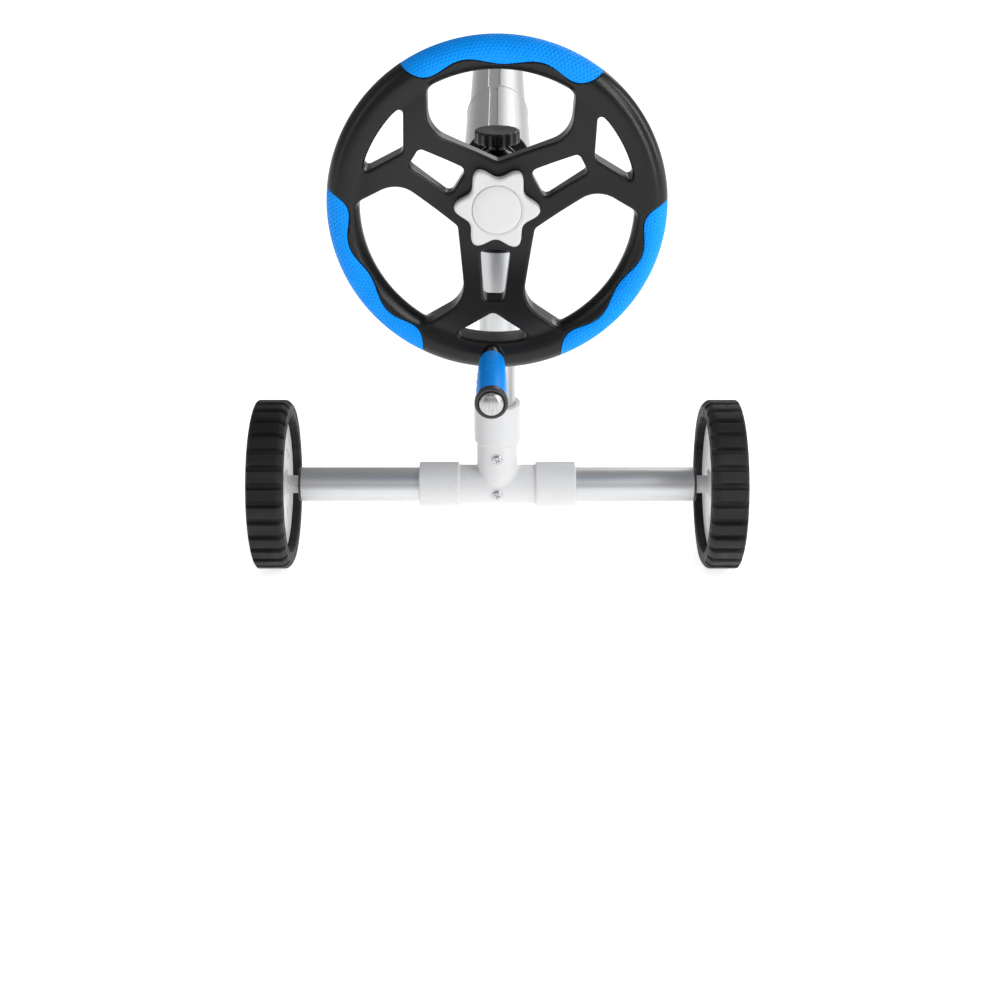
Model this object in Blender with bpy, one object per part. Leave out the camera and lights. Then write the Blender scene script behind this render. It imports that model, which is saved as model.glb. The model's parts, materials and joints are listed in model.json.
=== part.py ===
"""Cover reel for a pool or spa: a telescopic tube between two wheeled stands, turned by a handwheel.

Metres, +Z up. X is across the reel, Y runs along the tube and the handwheel is at the -Y end.
The origin is on the floor, below the middle of the whole object's box.
"""

import math

import bmesh
import bpy
from mathutils import Vector
from mathutils.geometry import tessellate_polygon

# Driving dimensions.
WHEEL_RADIUS = 0.100
TYRE_INSIDE = 0.243
TYRE_OUTSIDE = 0.285
REEL_HEIGHT = 0.474
STAND_SPACING = 2.226
HANDWHEEL_RADIUS = 0.174
HANDWHEEL_AHEAD = 0.125
HANDLE_REACH = 0.152
SLEEVE_RADIUS = 0.038
INNER_TUBE_RADIUS = 0.0355
CROSS_TUBE_RADIUS = 0.020
POST_RADIUS = 0.0205
SHAFT_RADIUS = 0.012
SCREW_RADIUS = 0.002
SCREW_HOLE = 0.0024
GAP = 0.0003

# Places along the reel, worked out from the driving dimensions.
FRONT_EDGE = HANDWHEEL_AHEAD + HANDLE_REACH
FRONT_POST = (FRONT_EDGE - STAND_SPACING - WHEEL_RADIUS) / 2
REAR_POST = FRONT_POST + STAND_SPACING
HANDWHEEL_Y = FRONT_POST - HANDWHEEL_AHEAD

# The reel is stored with its handwheel and its tube's groove turned a little, in degrees from the top.
WHEEL_TURN = 2.0
GROOVE_TURN = -7.0

# Handwheel.
RIM_CENTRE = 0.157
RIM_HALF_WIDTH = HANDWHEEL_RADIUS - RIM_CENTRE
RIM_HALF_DEPTH = 0.0185
PLATE_BACK = -0.022
PLATE_FRONT = -0.002
HUB_RADIUS = 0.030
HUB_BACK = HANDWHEEL_AHEAD - 0.066
HUB_WALL = 0.006
STUD_RADIUS = 0.005
PAD_SEAM = 0.150
PAD_THICKNESS = 0.003
PAD_HALF_SPAN = 33.0
HANDLE_ROOT = 0.032
HANDLE_RING = 0.136
STAR_KNOB_THICKNESS = 0.0145
STUD_BACK = 0.036

# How far from the reel's axis two spokes meet.
SPOKE_ROOT = 0.045

# Stand.
SOCKET_DROP = 0.081
SOCKET_RADIUS = 0.0262
BARREL_RADIUS = 0.0245
POST_FOOT = WHEEL_RADIUS + 0.026
POST_TOP = REEL_HEIGHT - 0.032
LOCK_KNOB_FOOT = 0.029
LOCK_KNOB_HEAD = 0.0365
LOCK_KNOB_TOP = 0.050
CROSS_TUBE_HALF = 0.232
TEE_HALF = 0.092
TEE_COLLAR = 0.0268
TEE_BODY = 0.0234
TEE_BRANCH = 0.0242
AXLE_RADIUS = 0.006
AXLE_HALF = 0.276
UPPER_SCREW = 0.043
LOWER_SCREW = -0.003

# Reel tube, as distances inboard of a post.
SLEEVE_START = 0.054
SLEEVE_END = 0.290
RING_THICKNESS = 0.003
INNER_START = 0.0545
INNER_END = 0.913
PLUG_END = 0.100
REEL_SCREW = 0.078
CENTRE_LENGTH = 1.000

TINY = 1e-9


# Materials.


def material(name, colour, roughness, metallic=0.0):
    made = bpy.data.materials.new(name)
    made.use_nodes = True
    shader = made.node_tree.nodes["Principled BSDF"]
    shader.inputs["Base Color"].default_value = (*colour, 1.0)
    shader.inputs["Roughness"].default_value = roughness
    shader.inputs["Metallic"].default_value = metallic
    return made


def materials():
    return {
        "black_plastic": material("black_plastic", (0.018, 0.018, 0.019), 0.35),
        "blue_grip": material("blue_grip", (0.01, 0.27, 0.9), 0.45),
        "white_plastic": material("white_plastic", (0.78, 0.78, 0.78), 0.35),
        "dark_plastic": material("dark_plastic", (0.05, 0.05, 0.05), 0.4),
        "aluminium": material("aluminium", (0.72, 0.73, 0.74), 0.32, 1.0),
        "steel": material("steel", (0.62, 0.62, 0.63), 0.28, 1.0),
        "rubber": material("rubber", (0.02, 0.02, 0.02), 0.7),
    }


# Modelling tools.


def place(axis, first, second, height):
    """A point given by its height along an axis and its two places across it."""
    if axis == "X":
        return Vector((height, first, second))
    if axis == "Y":
        return Vector((first, height, second))
    return Vector((first, second, height))


def solid(name, shape, at):
    """An object whose origin is at the given point, from a closed bmesh around that point."""
    bmesh.ops.recalc_face_normals(shape, faces=shape.faces)
    mesh = bpy.data.meshes.new(name)
    shape.to_mesh(mesh)
    shape.free()
    made = bpy.data.objects.new(name, mesh)
    made.location = at
    bpy.context.scene.collection.objects.link(made)
    return made


def bridge(shape, lower, upper):
    """Faces between two rings of vertices, either of which may be a single point."""
    count = max(len(lower), len(upper))
    for step in range(count):
        after = (step + 1) % count
        corners = [lower[step % len(lower)], lower[after % len(lower)]]
        corners += [upper[after % len(upper)], upper[step % len(upper)]]
        unique = list(dict.fromkeys(corners))
        shape.faces.new(unique)


def turned(name, profile, axis, at, segments=24):
    """A turned solid from (radius, height) points that start and end on the axis, or form a ring."""
    shape = bmesh.new()
    rings = []
    for radius, height in profile:
        if radius < TINY:
            rings.append([shape.verts.new(place(axis, 0, 0, height))])
            continue
        angles = [math.tau * step / segments for step in range(segments)]
        ring = []
        for angle in angles:
            point = place(axis, radius * math.cos(angle), radius * math.sin(angle), height)
            ring.append(shape.verts.new(point))
        rings.append(ring)
    pairs = list(zip(rings, rings[1:]))
    if profile[0][0] >= TINY:
        pairs.append((rings[-1], rings[0]))
    for lower, upper in pairs:
        bridge(shape, lower, upper)
    return solid(name, shape, at)


def pipe(name, inside, outside, start, end, axis, at, segments=24):
    profile = [(inside, start), (outside, start), (outside, end), (inside, end)]
    return turned(name, profile, axis, at, segments)


def rod(name, radius, start, end, axis, at, segments=24):
    profile = [(0, start), (radius, start), (radius, end), (0, end)]
    return turned(name, profile, axis, at, segments)


def prism(name, loops, axis, start, end, at):
    """An outline, followed by the outlines of its holes, drawn out along an axis."""
    shape = bmesh.new()
    flat = [[Vector((first, second, 0)) for first, second in loop] for loop in loops]
    faces = tessellate_polygon(flat)
    caps = []
    for height in (start, end):
        points = [place(axis, first, second, height) for loop in loops for first, second in loop]
        cap = [shape.verts.new(point) for point in points]
        for corners in faces:
            shape.faces.new([cap[corner] for corner in corners])
        caps.append(cap)
    offset = 0
    for loop in loops:
        rings = [cap[offset : offset + len(loop)] for cap in caps]
        bridge(shape, *rings)
        offset += len(loop)
    return solid(name, shape, at)


def combine(target, others, operation):
    """Applies a Boolean of the other objects to the target, and removes them."""
    for other in others:
        step = target.modifiers.new("combine", "BOOLEAN")
        step.operation = operation
        step.solver = "EXACT"
        step.object = other
    bpy.context.view_layer.update()
    graph = bpy.context.evaluated_depsgraph_get()
    result = bpy.data.meshes.new_from_object(target.evaluated_get(graph))
    target.modifiers.clear()
    target.data = result
    for other in others:
        bpy.data.objects.remove(other)
    return target


def circle(radius, segments):
    angles = [math.tau * step / segments for step in range(segments)]
    return [(radius * math.cos(angle), radius * math.sin(angle)) for angle in angles]


def clock(radius, degrees):
    """A point at an angle from the top, positive to the right when seen from the handwheel end."""
    angle = math.radians(degrees)
    return (radius * math.sin(angle), radius * math.cos(angle))


def turn(points, degrees):
    """Points turned as the hands of a clock turn."""
    angle = math.radians(degrees)
    cosine = math.cos(angle)
    sine = math.sin(angle)
    return [(x * cosine + z * sine, z * cosine - x * sine) for x, z in points]


def rounded(corners, steps=4):
    """An outline from (point, radius) corners, each rounded by an arc in so many steps."""
    outline = []
    for index, (point, radius) in enumerate(corners):
        if radius == 0:
            outline.append(point)
            continue
        here = Vector(point)
        before = (Vector(corners[index - 1][0]) - here).normalized()
        after = (Vector(corners[(index + 1) % len(corners)][0]) - here).normalized()
        half = before.angle(after) / 2
        centre = here + (before + after).normalized() * (radius / math.sin(half))
        start = here + before * (radius / math.tan(half)) - centre
        end = here + after * (radius / math.tan(half)) - centre
        sweep = start.angle_signed(end)
        for step in range(steps + 1):
            angle = -sweep * step / steps
            cosine = math.cos(angle)
            sine = math.sin(angle)
            x = start.x * cosine - start.y * sine
            y = start.x * sine + start.y * cosine
            outline.append((centre.x + x, centre.y + y))
    return outline


def hole(target, radius, start, end, axis, at):
    return combine(target, [rod("cutter", radius, start, end, axis, at, 12)], "DIFFERENCE")


# Reel tube.


def grooved(radius, width, floor, segments=24):
    """A round outline with a flat-bottomed groove, turned to where the groove is stored."""
    half = math.asin(width / 2 / radius)
    sweep = math.tau - 2 * half
    points = []
    for step in range(segments + 1):
        angle = half + sweep * step / segments
        points.append((radius * math.sin(angle), radius * math.cos(angle)))
    points.append((-width / 2, floor))
    points.append((width / 2, floor))
    return turn(points, GROOVE_TURN)


def tube_outline(radius, groove, floor, wall):
    outside = grooved(radius, groove, floor)
    inside = grooved(radius - wall, groove + 2 * wall, floor - wall)
    return [outside, inside]


SLEEVE_OUTLINE = tube_outline(SLEEVE_RADIUS, 0.0100, 0.0345, 0.0018)
INNER_OUTLINE = tube_outline(INNER_TUBE_RADIUS, 0.0146, 0.0321, 0.0018)
LIP_OUTLINE = [grooved(0.0387, 0.0090, 0.0350), grooved(0.0372, 0.0118, 0.0336)]
RING_OUTLINE = [grooved(0.0386, 0.0092, 0.0349), grooved(0.0359, 0.0140, 0.0325)]
PLUG_OUTLINE = grooved(0.0333, 0.0188, 0.0300)


def on_reel(y):
    return (0, y, REEL_HEIGHT)


def pan_screw(name, at, way, shank):
    """A pan-head screw along Z whose head sits at the given point and whose shank runs the other way."""
    profile = [(0, -shank), (SCREW_RADIUS, -shank), (SCREW_RADIUS, 0), (0.0042, 0)]
    profile += [(0.0038, 0.0016), (0.0025, 0.0026), (0, 0.0028)]
    profile = [(radius, height * way) for radius, height in profile]
    return turned(name, profile, "Z", at, 12)


def reel_end(end, post, inboard):
    """Sleeve, inner tube and plug of one end, with the screw through all three. inboard is +1 or -1."""
    at = on_reel(post)
    start = inboard * SLEEVE_START
    sleeve = prism(f"sleeve_{end}", SLEEVE_OUTLINE, "Y", start, inboard * SLEEVE_END, at)
    lip_start = SLEEVE_END - RING_THICKNESS
    lip_end = SLEEVE_END + GAP
    lip = prism("lip", LIP_OUTLINE, "Y", inboard * lip_start, inboard * lip_end, at)
    combine(sleeve, [lip], "UNION")
    start = inboard * INNER_START
    inner = prism(f"inner_tube_{end}", INNER_OUTLINE, "Y", start, inboard * INNER_END, at)
    bore = SHAFT_RADIUS + GAP
    face = SLEEVE_START - GAP
    outline = [PLUG_OUTLINE, circle(bore, 24)]
    plug = prism(f"plug_{end}", outline, "Y", inboard * (face - 0.001), inboard * PLUG_END, at)
    flange = pipe("flange", bore, SLEEVE_RADIUS, inboard * (face - 0.004), inboard * face, "Y", at)
    combine(plug, [flange], "UNION")
    foot = (0, post + inboard * REEL_SCREW, REEL_HEIGHT - SLEEVE_RADIUS - GAP)
    for piece in (sleeve, inner, plug):
        hole(piece, SCREW_HOLE, -0.002, 0.010, "Z", foot)
    return [sleeve, inner, plug, pan_screw(f"reel_screw_{end}", foot, -1, 0.008)]


def centre_section():
    """The middle tube, with a guide ring and a clamping screw at each end."""
    middle = (FRONT_POST + REAR_POST) / 2
    at = on_reel(middle)
    half = CENTRE_LENGTH / 2
    tube = prism("centre_tube", SLEEVE_OUTLINE, "Y", -half, half, at)
    pieces = [tube]
    for end, side in (("front", -1), ("rear", 1)):
        start = half + GAP
        ring = prism(f"ring_{end}", RING_OUTLINE, "Y", side * start, side * (start + RING_THICKNESS), at)
        foot = (0, middle + side * (half - 0.045), REEL_HEIGHT - SLEEVE_RADIUS - GAP)
        hole(tube, SCREW_HOLE, -0.002, 0.004, "Z", foot)
        pieces += [ring, pan_screw(f"length_screw_{end}", foot, -1, 0.0024)]
    return pieces


# Handwheel.


def rim_section(steps, first, last, grow=0.0):
    """Points on the rim's oval section from one angle to another, counted from straight outwards."""
    points = []
    for step in range(steps + 1):
        angle = math.radians(first + (last - first) * step / steps)
        radius = RIM_CENTRE + (RIM_HALF_WIDTH + grow) * math.cos(angle)
        points.append((radius, (RIM_HALF_DEPTH + grow) * math.sin(angle)))
    return points


def swept(name, section, middle, half_span, steps):
    """A section of (radius, depth) points swept round the reel, centred on an angle from the top."""
    shape = bmesh.new()
    rings = []
    for step in range(steps + 1):
        degrees = middle - half_span + 2 * half_span * step / steps
        ring = []
        for radius, depth in section:
            x, z = clock(radius, degrees)
            ring.append(shape.verts.new((x, depth, z)))
        rings.append(ring)
    for lower, upper in zip(rings, rings[1:]):
        bridge(shape, lower, upper)
    shape.faces.new(rings[0])
    shape.faces.new(rings[-1])
    return solid(name, shape, on_reel(HANDWHEEL_Y))


def pad_section(outside, inside, seam):
    """A C-shaped section that lies over the rim's outer side, between two seams."""
    reach = math.degrees(math.acos((seam - RIM_CENTRE) / RIM_HALF_WIDTH))
    outer = rim_section(6, -reach, reach, outside)
    return outer + rim_section(6, reach, -reach, -inside)


def spoke_plate():
    """Three spokes as one star, with two windows in each."""
    corners = []
    windows = []
    for third in range(3):
        middle = 120.0 * third
        spoke = [((0, SPOKE_ROOT), 0.005), ((0.0718, 0.0759), 0.030)]
        spoke += [(clock(0.150, 29.6 + 60.8 * step / 8), 0) for step in range(9)]
        spoke.append((clock(0.1045, 120 - 43.4), 0.030))
        corners += [(turn([point], middle)[0], radius) for point, radius in spoke]
        slot = [((0.0145, 0.048), 0.005), ((0.0095, 0.098), 0.004)]
        slot += [((-0.0095, 0.098), 0.004), ((-0.0145, 0.048), 0.005)]
        windows.append(turn(rounded(slot, 2), middle + 60))
        base = [(clock(0.1415, 13.5 - 27 * step / 4), 0) for step in range(5)]
        windows.append(turn(rounded([((0, 0.111), 0.006)] + base, 2), middle + 60))
    loops = [turn(loop, WHEEL_TURN) for loop in [rounded(corners)] + windows]
    return prism("plate", loops, "Y", -PLATE_FRONT, -PLATE_BACK, on_reel(HANDWHEEL_Y))


def handle_at():
    x, z = clock(RIM_CENTRE, 180 + WHEEL_TURN)
    return (x, HANDWHEEL_Y, REEL_HEIGHT + z)


def handwheel():
    at = on_reel(HANDWHEEL_Y)
    wheel = turned("handwheel", rim_section(12, 0, 360)[:-1], "Y", at, 48)
    hub = rod("hub", HUB_RADIUS, -PLATE_FRONT + 0.002, HUB_BACK, "Y", at)
    boss = rod("boss", 0.0135, -HANDLE_ROOT + GAP, -0.010, "Y", handle_at())
    combine(wheel, [spoke_plate(), hub, boss], "UNION")
    bore_end = HUB_WALL - PLATE_FRONT
    bore = prism("cutter", [circle(SHAFT_RADIUS + GAP, 6)], "Y", bore_end, HUB_BACK + 0.010, at)
    stud = rod("cutter", STUD_RADIUS + 0.0005, -0.020, bore_end + 0.002, "Y", at, 16)
    pin = rod("cutter", 0.0043, -0.050, 0.006, "Y", handle_at(), 16)
    combine(wheel, [bore, stud, pin], "DIFFERENCE")
    pieces = [wheel]
    for name, middle in (("top", 0.0), ("right", 120.0), ("left", 240.0)):
        seat = pad_section(0.002, PAD_THICKNESS + GAP, PAD_SEAM - GAP)
        cutter = swept("cutter", seat, middle + WHEEL_TURN, PAD_HALF_SPAN + 0.15, 7)
        combine(wheel, [cutter], "DIFFERENCE")
        pad = pad_section(0.0, PAD_THICKNESS, PAD_SEAM)
        pieces.append(swept(f"grip_{name}", pad, middle + WHEEL_TURN, PAD_HALF_SPAN, 7))
    return pieces


def handle_bolt():
    """A pin that is held in the rim, with a head inside the handle's end."""
    shoulder = HANDLE_RING - 0.004
    profile = [(0, -0.004), (0.004, -0.004), (0.004, shoulder), (0.007, shoulder)]
    profile += [(0.007, HANDLE_RING), (0, HANDLE_RING)]
    profile = [(radius, -height) for radius, height in profile]
    return turned("handle_bolt", profile, "Y", handle_at(), 16)


def handle():
    """The sleeve that turns on the bolt, its end ring and the dome that closes it."""
    at = handle_at()
    root = HANDLE_ROOT + GAP
    recess = HANDLE_RING - 0.0045
    profile = [(0.0044, root), (0.0125, root), (0.0136, root + 0.0015), (0.0155, HANDLE_RING - 0.008)]
    profile += [(0.0155, HANDLE_RING), (0.0076, HANDLE_RING), (0.0076, recess), (0.0044, recess)]
    sleeve = turned("handle_sleeve", [(r, -h) for r, h in profile], "Y", at)
    start = HANDLE_RING + GAP
    end = HANDLE_REACH - 0.006
    profile = [(0.0128, start), (0.0160, start), (0.0166, start + 0.003)]
    profile += [(0.0160, end), (0.0128, end)]
    ring = turned("handle_ring", [(r, -h) for r, h in profile], "Y", at)
    cap_start = start + 0.001
    profile = [(0, cap_start), (0.0125, cap_start), (0.0125, end), (0.0112, end + 0.0028)]
    profile += [(0.0070, end + 0.0050), (0, HANDLE_REACH)]
    cap = turned("handle_cap", [(r, -h) for r, h in profile], "Y", at)
    return [sleeve, ring, cap]


def star_knob():
    """A six-lobed knob on a threaded stud, with a round cap let into its face."""
    at = on_reel(HANDWHEEL_Y)
    back = PLATE_FRONT + 0.0005
    front = back + STAR_KNOB_THICKNESS
    lobes = []
    for step in range(48):
        degrees = 7.5 * step
        wave = math.cos(math.radians(6 * (degrees - WHEEL_TURN - 90)))
        lobes.append(clock(0.0373 + 0.0062 * wave, degrees))
    knob = prism("star_knob", [lobes], "Y", -back, -front, at)
    recess = rod("cutter", 0.0253, -front + 0.003, -front - 0.001, "Y", at)
    socket = rod("cutter", STUD_RADIUS + GAP, -back + 0.001, -back - 0.009, "Y", at, 16)
    combine(knob, [recess, socket], "DIFFERENCE")
    cap_back = front - 0.003 + GAP
    profile = [(0, cap_back), (0.0250, cap_back), (0.0250, front + 0.0002)]
    profile += [(0.0240, front + 0.001), (0, front + 0.001)]
    cap = turned("star_knob_cap", [(r, -h) for r, h in profile], "Y", at)
    stud = rod("star_knob_stud", STUD_RADIUS, -back - 0.0085, STUD_BACK, "Y", at, 16)
    return [knob, cap, stud]


def shaft_front():
    """From the tube's plug through the bearing to the handwheel, where it is hexagonal."""
    at = on_reel(FRONT_POST)
    shaft = rod("shaft_front", SHAFT_RADIUS, -0.064, 0.098, "Y", at)
    tip = HUB_WALL - PLATE_FRONT + 0.0015 - HANDWHEEL_AHEAD
    hexagon = prism("hexagon", [circle(SHAFT_RADIUS, 6)], "Y", tip, -0.063, at)
    combine(shaft, [hexagon], "UNION")
    deepest = STUD_BACK + 0.004 - HANDWHEEL_AHEAD
    return hole(shaft, STUD_RADIUS + 0.0004, tip - 0.005, deepest, "Y", at)


def shaft_rear():
    """From the tube's plug through the bearing, with a head that keeps it there."""
    profile = [(0, -0.098), (SHAFT_RADIUS, -0.098), (SHAFT_RADIUS, 0.0625)]
    profile += [(0.0180, 0.0625), (0.0180, 0.0685), (0, 0.0685)]
    return turned("shaft_rear", profile, "Y", on_reel(REAR_POST))


# Stands.


def housing(end, post, outward, drilled):
    """The bearing housing: a barrel on the reel's axis, a socket for the post and a cone on top."""
    at = on_reel(post)
    barrel = rod(f"housing_{end}", BARREL_RADIUS, outward * 0.060, outward * -0.045, "Y", at)
    socket = rod("socket", SOCKET_RADIUS, -SOCKET_DROP, -0.004, "Z", at)
    profile = [(0, 0.004), (0.0240, 0.008), (0.0245, 0.0205)]
    profile += [(0.0200, 0.0235), (0.0095, 0.0285), (0, 0.0285)]
    cone = turned("cone", profile, "Z", at)
    combine(barrel, [socket, cone], "UNION")
    bore = rod("cutter", 0.0170, outward * 0.070, outward * -0.055, "Y", at)
    seat = rod("cutter", POST_RADIUS + GAP, -SOCKET_DROP - 0.010, POST_TOP - REEL_HEIGHT + GAP, "Z", at)
    combine(barrel, [bore, seat], "DIFFERENCE")
    pieces = [barrel]
    profile = [(0.0124, -0.0490), (0.0240, -0.0490), (0.0240, -0.0454)]
    profile += [(0.0167, -0.0454), (0.0167, 0.0615), (0.0124, 0.0615)]
    bush = turned(f"bush_{end}", [(r, outward * h) for r, h in profile], "Y", at)
    pieces.append(bush)
    if drilled:
        for piece in pieces:
            hole(piece, 0.0034, 0.006, 0.035, "Z", at)
    return pieces


def lock_knob():
    """A fluted knob above the front housing, with a stud that presses on the shaft."""
    at = on_reel(FRONT_POST)
    flutes = []
    for step in range(48):
        radius = 0.0250 if step % 3 else 0.0238
        flutes.append(clock(radius, 7.5 * step))
    knob = prism("lock_knob", [flutes], "Z", LOCK_KNOB_HEAD, LOCK_KNOB_TOP, at)
    foot = LOCK_KNOB_FOOT
    buried = LOCK_KNOB_HEAD + 0.0015
    neck = turned("neck", [(0, foot), (0.0085, foot), (0.0105, buried), (0, buried)], "Z", at)
    combine(knob, [neck], "UNION")
    hole(knob, 0.0033, 0.020, 0.042, "Z", at)
    return [knob, rod("lock_stud", 0.003, SHAFT_RADIUS + 0.0005, 0.0415, "Z", at, 12)]


def tee(end, post, outward):
    """The fitting that holds the post on the cross tube, with a collar at each mouth and two screws."""
    at = (0, post, WHEEL_RADIUS)
    inner = TEE_HALF - 0.047
    edge = 0.002
    profile = [(0, -TEE_HALF), (TEE_COLLAR - edge, -TEE_HALF), (TEE_COLLAR, edge - TEE_HALF)]
    profile += [(TEE_COLLAR, -inner), (TEE_BODY, -inner), (TEE_BODY, inner), (TEE_COLLAR, inner)]
    profile += [(TEE_COLLAR, TEE_HALF - edge), (TEE_COLLAR - edge, TEE_HALF), (0, TEE_HALF)]
    body = turned(f"tee_{end}", profile, "X", at, 32)
    mouth = TEE_COLLAR + 0.0003
    profile = [(0, -0.010), (0.019, -0.010), (TEE_BRANCH, 0.012), (TEE_BRANCH, 0.057)]
    profile += [(mouth, 0.060), (mouth, 0.104), (mouth - 0.0013, 0.106), (0, 0.106)]
    branch = turned("branch", profile, "Z", at, 32)
    combine(body, [branch], "UNION")
    through = rod("cutter", CROSS_TUBE_RADIUS + GAP, -0.1, 0.1, "X", at, 32)
    seat = rod("cutter", POST_RADIUS + GAP, POST_FOOT - WHEEL_RADIUS - 2 * GAP, 0.110, "Z", at, 32)
    combine(body, [through, seat], "DIFFERENCE")
    screws = []
    for label, height, surface in (("upper", UPPER_SCREW, TEE_BRANCH), ("lower", LOWER_SCREW, TEE_BODY)):
        foot = (0, post, WHEEL_RADIUS + height)
        head = surface + GAP
        tip = head - 0.0055
        profile = [(0, tip), (SCREW_RADIUS, tip), (SCREW_RADIUS, head), (0.006, head)]
        profile += [(0.0052, head + 0.0018), (0.003, head + 0.0028), (0, head + 0.003)]
        profile = [(r, outward * h) for r, h in profile]
        screws.append(turned(f"tee_screw_{end}_{label}", profile, "Y", foot, 16))
        hole(body, SCREW_HOLE, outward * 0.016, outward * 0.030, "Y", foot)
    return [body] + screws


def stand(end, post, outward):
    """Everything of one stand that does not turn."""
    pieces = housing(end, post, outward, end == "front")
    foot = (0, post, 0)
    upright = pipe(f"post_{end}", POST_RADIUS - 0.002, POST_RADIUS, POST_FOOT, POST_TOP, "Z", foot)
    axle_line = (0, post, WHEEL_RADIUS)
    wall = CROSS_TUBE_RADIUS - 0.0018
    half = CROSS_TUBE_HALF
    cross = pipe(f"cross_tube_{end}", wall, CROSS_TUBE_RADIUS, -half, half, "X", axle_line)
    for tube, height in ((upright, UPPER_SCREW), (cross, LOWER_SCREW)):
        foot = (0, post, WHEEL_RADIUS + height)
        hole(tube, SCREW_HOLE, outward * 0.010, outward * 0.030, "Y", foot)
    axle = rod(f"axle_{end}", AXLE_RADIUS, -AXLE_HALF, AXLE_HALF, "X", axle_line)
    pieces += [upright, cross, axle] + tee(end, post, outward)
    bore = AXLE_RADIUS + GAP
    plug = wall - GAP
    face = CROSS_TUBE_HALF + GAP
    flange = face + 0.002
    rim = CROSS_TUBE_RADIUS + GAP
    for hand, side in (("left", -1), ("right", 1)):
        profile = [(bore, 0.200), (plug, 0.200), (plug, face)]
        profile += [(rim, face), (rim, flange), (bore, flange)]
        profile = [(radius, side * height) for radius, height in profile]
        pieces.append(turned(f"tube_cap_{end}_{hand}", profile, "X", axle_line, 16))
    return pieces


# Road wheels.


def tyre(name, at, side):
    """A ring with thirty lugs, one of which stands flat on the floor."""
    lugs = 30
    pitch = 360.0 / lugs
    half = 0.31 * pitch
    top = WHEEL_RADIUS / math.cos(math.radians(half))
    valley = WHEEL_RADIUS - 0.0035
    outline = []
    for lug in range(lugs):
        middle = 180 + pitch * lug
        outline.append(clock(valley, middle - half - 0.6))
        outline.append(clock(top, middle - half))
        outline.append(clock(top, middle + half))
        outline.append(clock(valley, middle + half + 0.6))
    return prism(name, [outline, circle(0.0806, 24)], "X", side * TYRE_INSIDE, side * TYRE_OUTSIDE, at)


def wheel_hub(name, at, side):
    """A disc with pairs of windows, a boss round the axle and a rim under the tyre."""
    windows = []
    for pair in range(6):
        inner = rounded([((0.003, 0.030), 0), ((0.014, 0.038), 0), ((0.003, 0.052), 0)], 1)
        outer = [((-0.004, 0.056), 0), ((-0.016, 0.068), 0), ((-0.006, 0.071), 0)]
        for corners in (inner, rounded(outer, 1)):
            windows.append(turn(corners, 60.0 * pair))
    disc = prism(name, [circle(0.077, 24)] + windows, "X", side * 0.256, side * 0.261, at)
    rim_start = side * (TYRE_INSIDE + 0.0035)
    rim = pipe("rim", 0.0755, 0.0800, rim_start, side * (TYRE_OUTSIDE - 0.0035), "X", at)
    profile = [(0, 0.2346), (0.0105, 0.2346), (0.0105, 0.2475)]
    profile += [(0.0160, 0.2475), (0.0160, 0.2720), (0, 0.2720)]
    boss = turned("boss", [(radius, side * height) for radius, height in profile], "X", at)
    combine(disc, [rim, boss], "UNION")
    return combine(disc, [rod("cutter", 0.0063, side * 0.23, side * 0.28, "X", at)], "DIFFERENCE")


def wheel_cap(name, at, side):
    """A snap-on cap that keeps a wheel on its axle."""
    profile = [(0, 0.2764), (0.0064, 0.2764), (0.0064, 0.2724), (0.0110, 0.2724)]
    profile += [(0.0110, 0.2765), (0.0080, 0.2786), (0, 0.2788)]
    return turned(name, [(r, side * h) for r, h in profile], "X", at)


def road_wheel(end, hand, post, side):
    at = (0, post, WHEEL_RADIUS)
    label = f"{end}_{hand}"
    return [
        tyre(f"tyre_{label}", at, side),
        wheel_hub(f"wheel_hub_{label}", at, side),
        wheel_cap(f"wheel_cap_{label}", at, side),
    ]


# Assembly.

COLOURS = {
    "handwheel": "black_plastic",
    "grip": "blue_grip",
    "handle_sleeve": "blue_grip",
    "handle_ring": "dark_plastic",
    "handle_cap": "steel",
    "handle_bolt": "steel",
    "star_knob_stud": "steel",
    "star_knob": "white_plastic",
    "lock_stud": "steel",
    "lock_knob": "black_plastic",
    "housing": "black_plastic",
    "bush": "white_plastic",
    "plug": "black_plastic",
    "shaft": "steel",
    "reel_screw": "steel",
    "sleeve": "aluminium",
    "inner_tube": "aluminium",
    "centre_tube": "aluminium",
    "ring": "dark_plastic",
    "length_screw": "steel",
    "post": "aluminium",
    "cross_tube": "aluminium",
    "tee_screw": "steel",
    "tee": "white_plastic",
    "tube_cap": "dark_plastic",
    "axle": "steel",
    "tyre": "rubber",
    "wheel_hub": "white_plastic",
    "wheel_cap": "white_plastic",
}


def colour_of(name):
    """The material of the longest listed name that the piece's name starts with."""
    matches = [key for key in COLOURS if name.startswith(key)]
    return COLOURS[max(matches, key=len)]


def body(name, at, pieces, finishes, parent=None):
    """An empty on the body's joint, with the body's pieces below it."""
    frame = bpy.data.objects.new(f"body_{name}", None)
    bpy.context.scene.collection.objects.link(frame)
    frame.location = Vector(at)
    if parent is not None:
        frame.location -= parent["at"]
        frame.parent = parent["frame"]
    for piece in pieces:
        piece.location -= Vector(at)
        piece.parent = frame
        piece.data.materials.clear()
        piece.data.materials.append(finishes[colour_of(piece.name)])
        piece.data.shade_smooth()
        piece.data.set_sharp_from_angle(angle=math.radians(30))
    return {"frame": frame, "at": Vector(at)}


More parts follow.
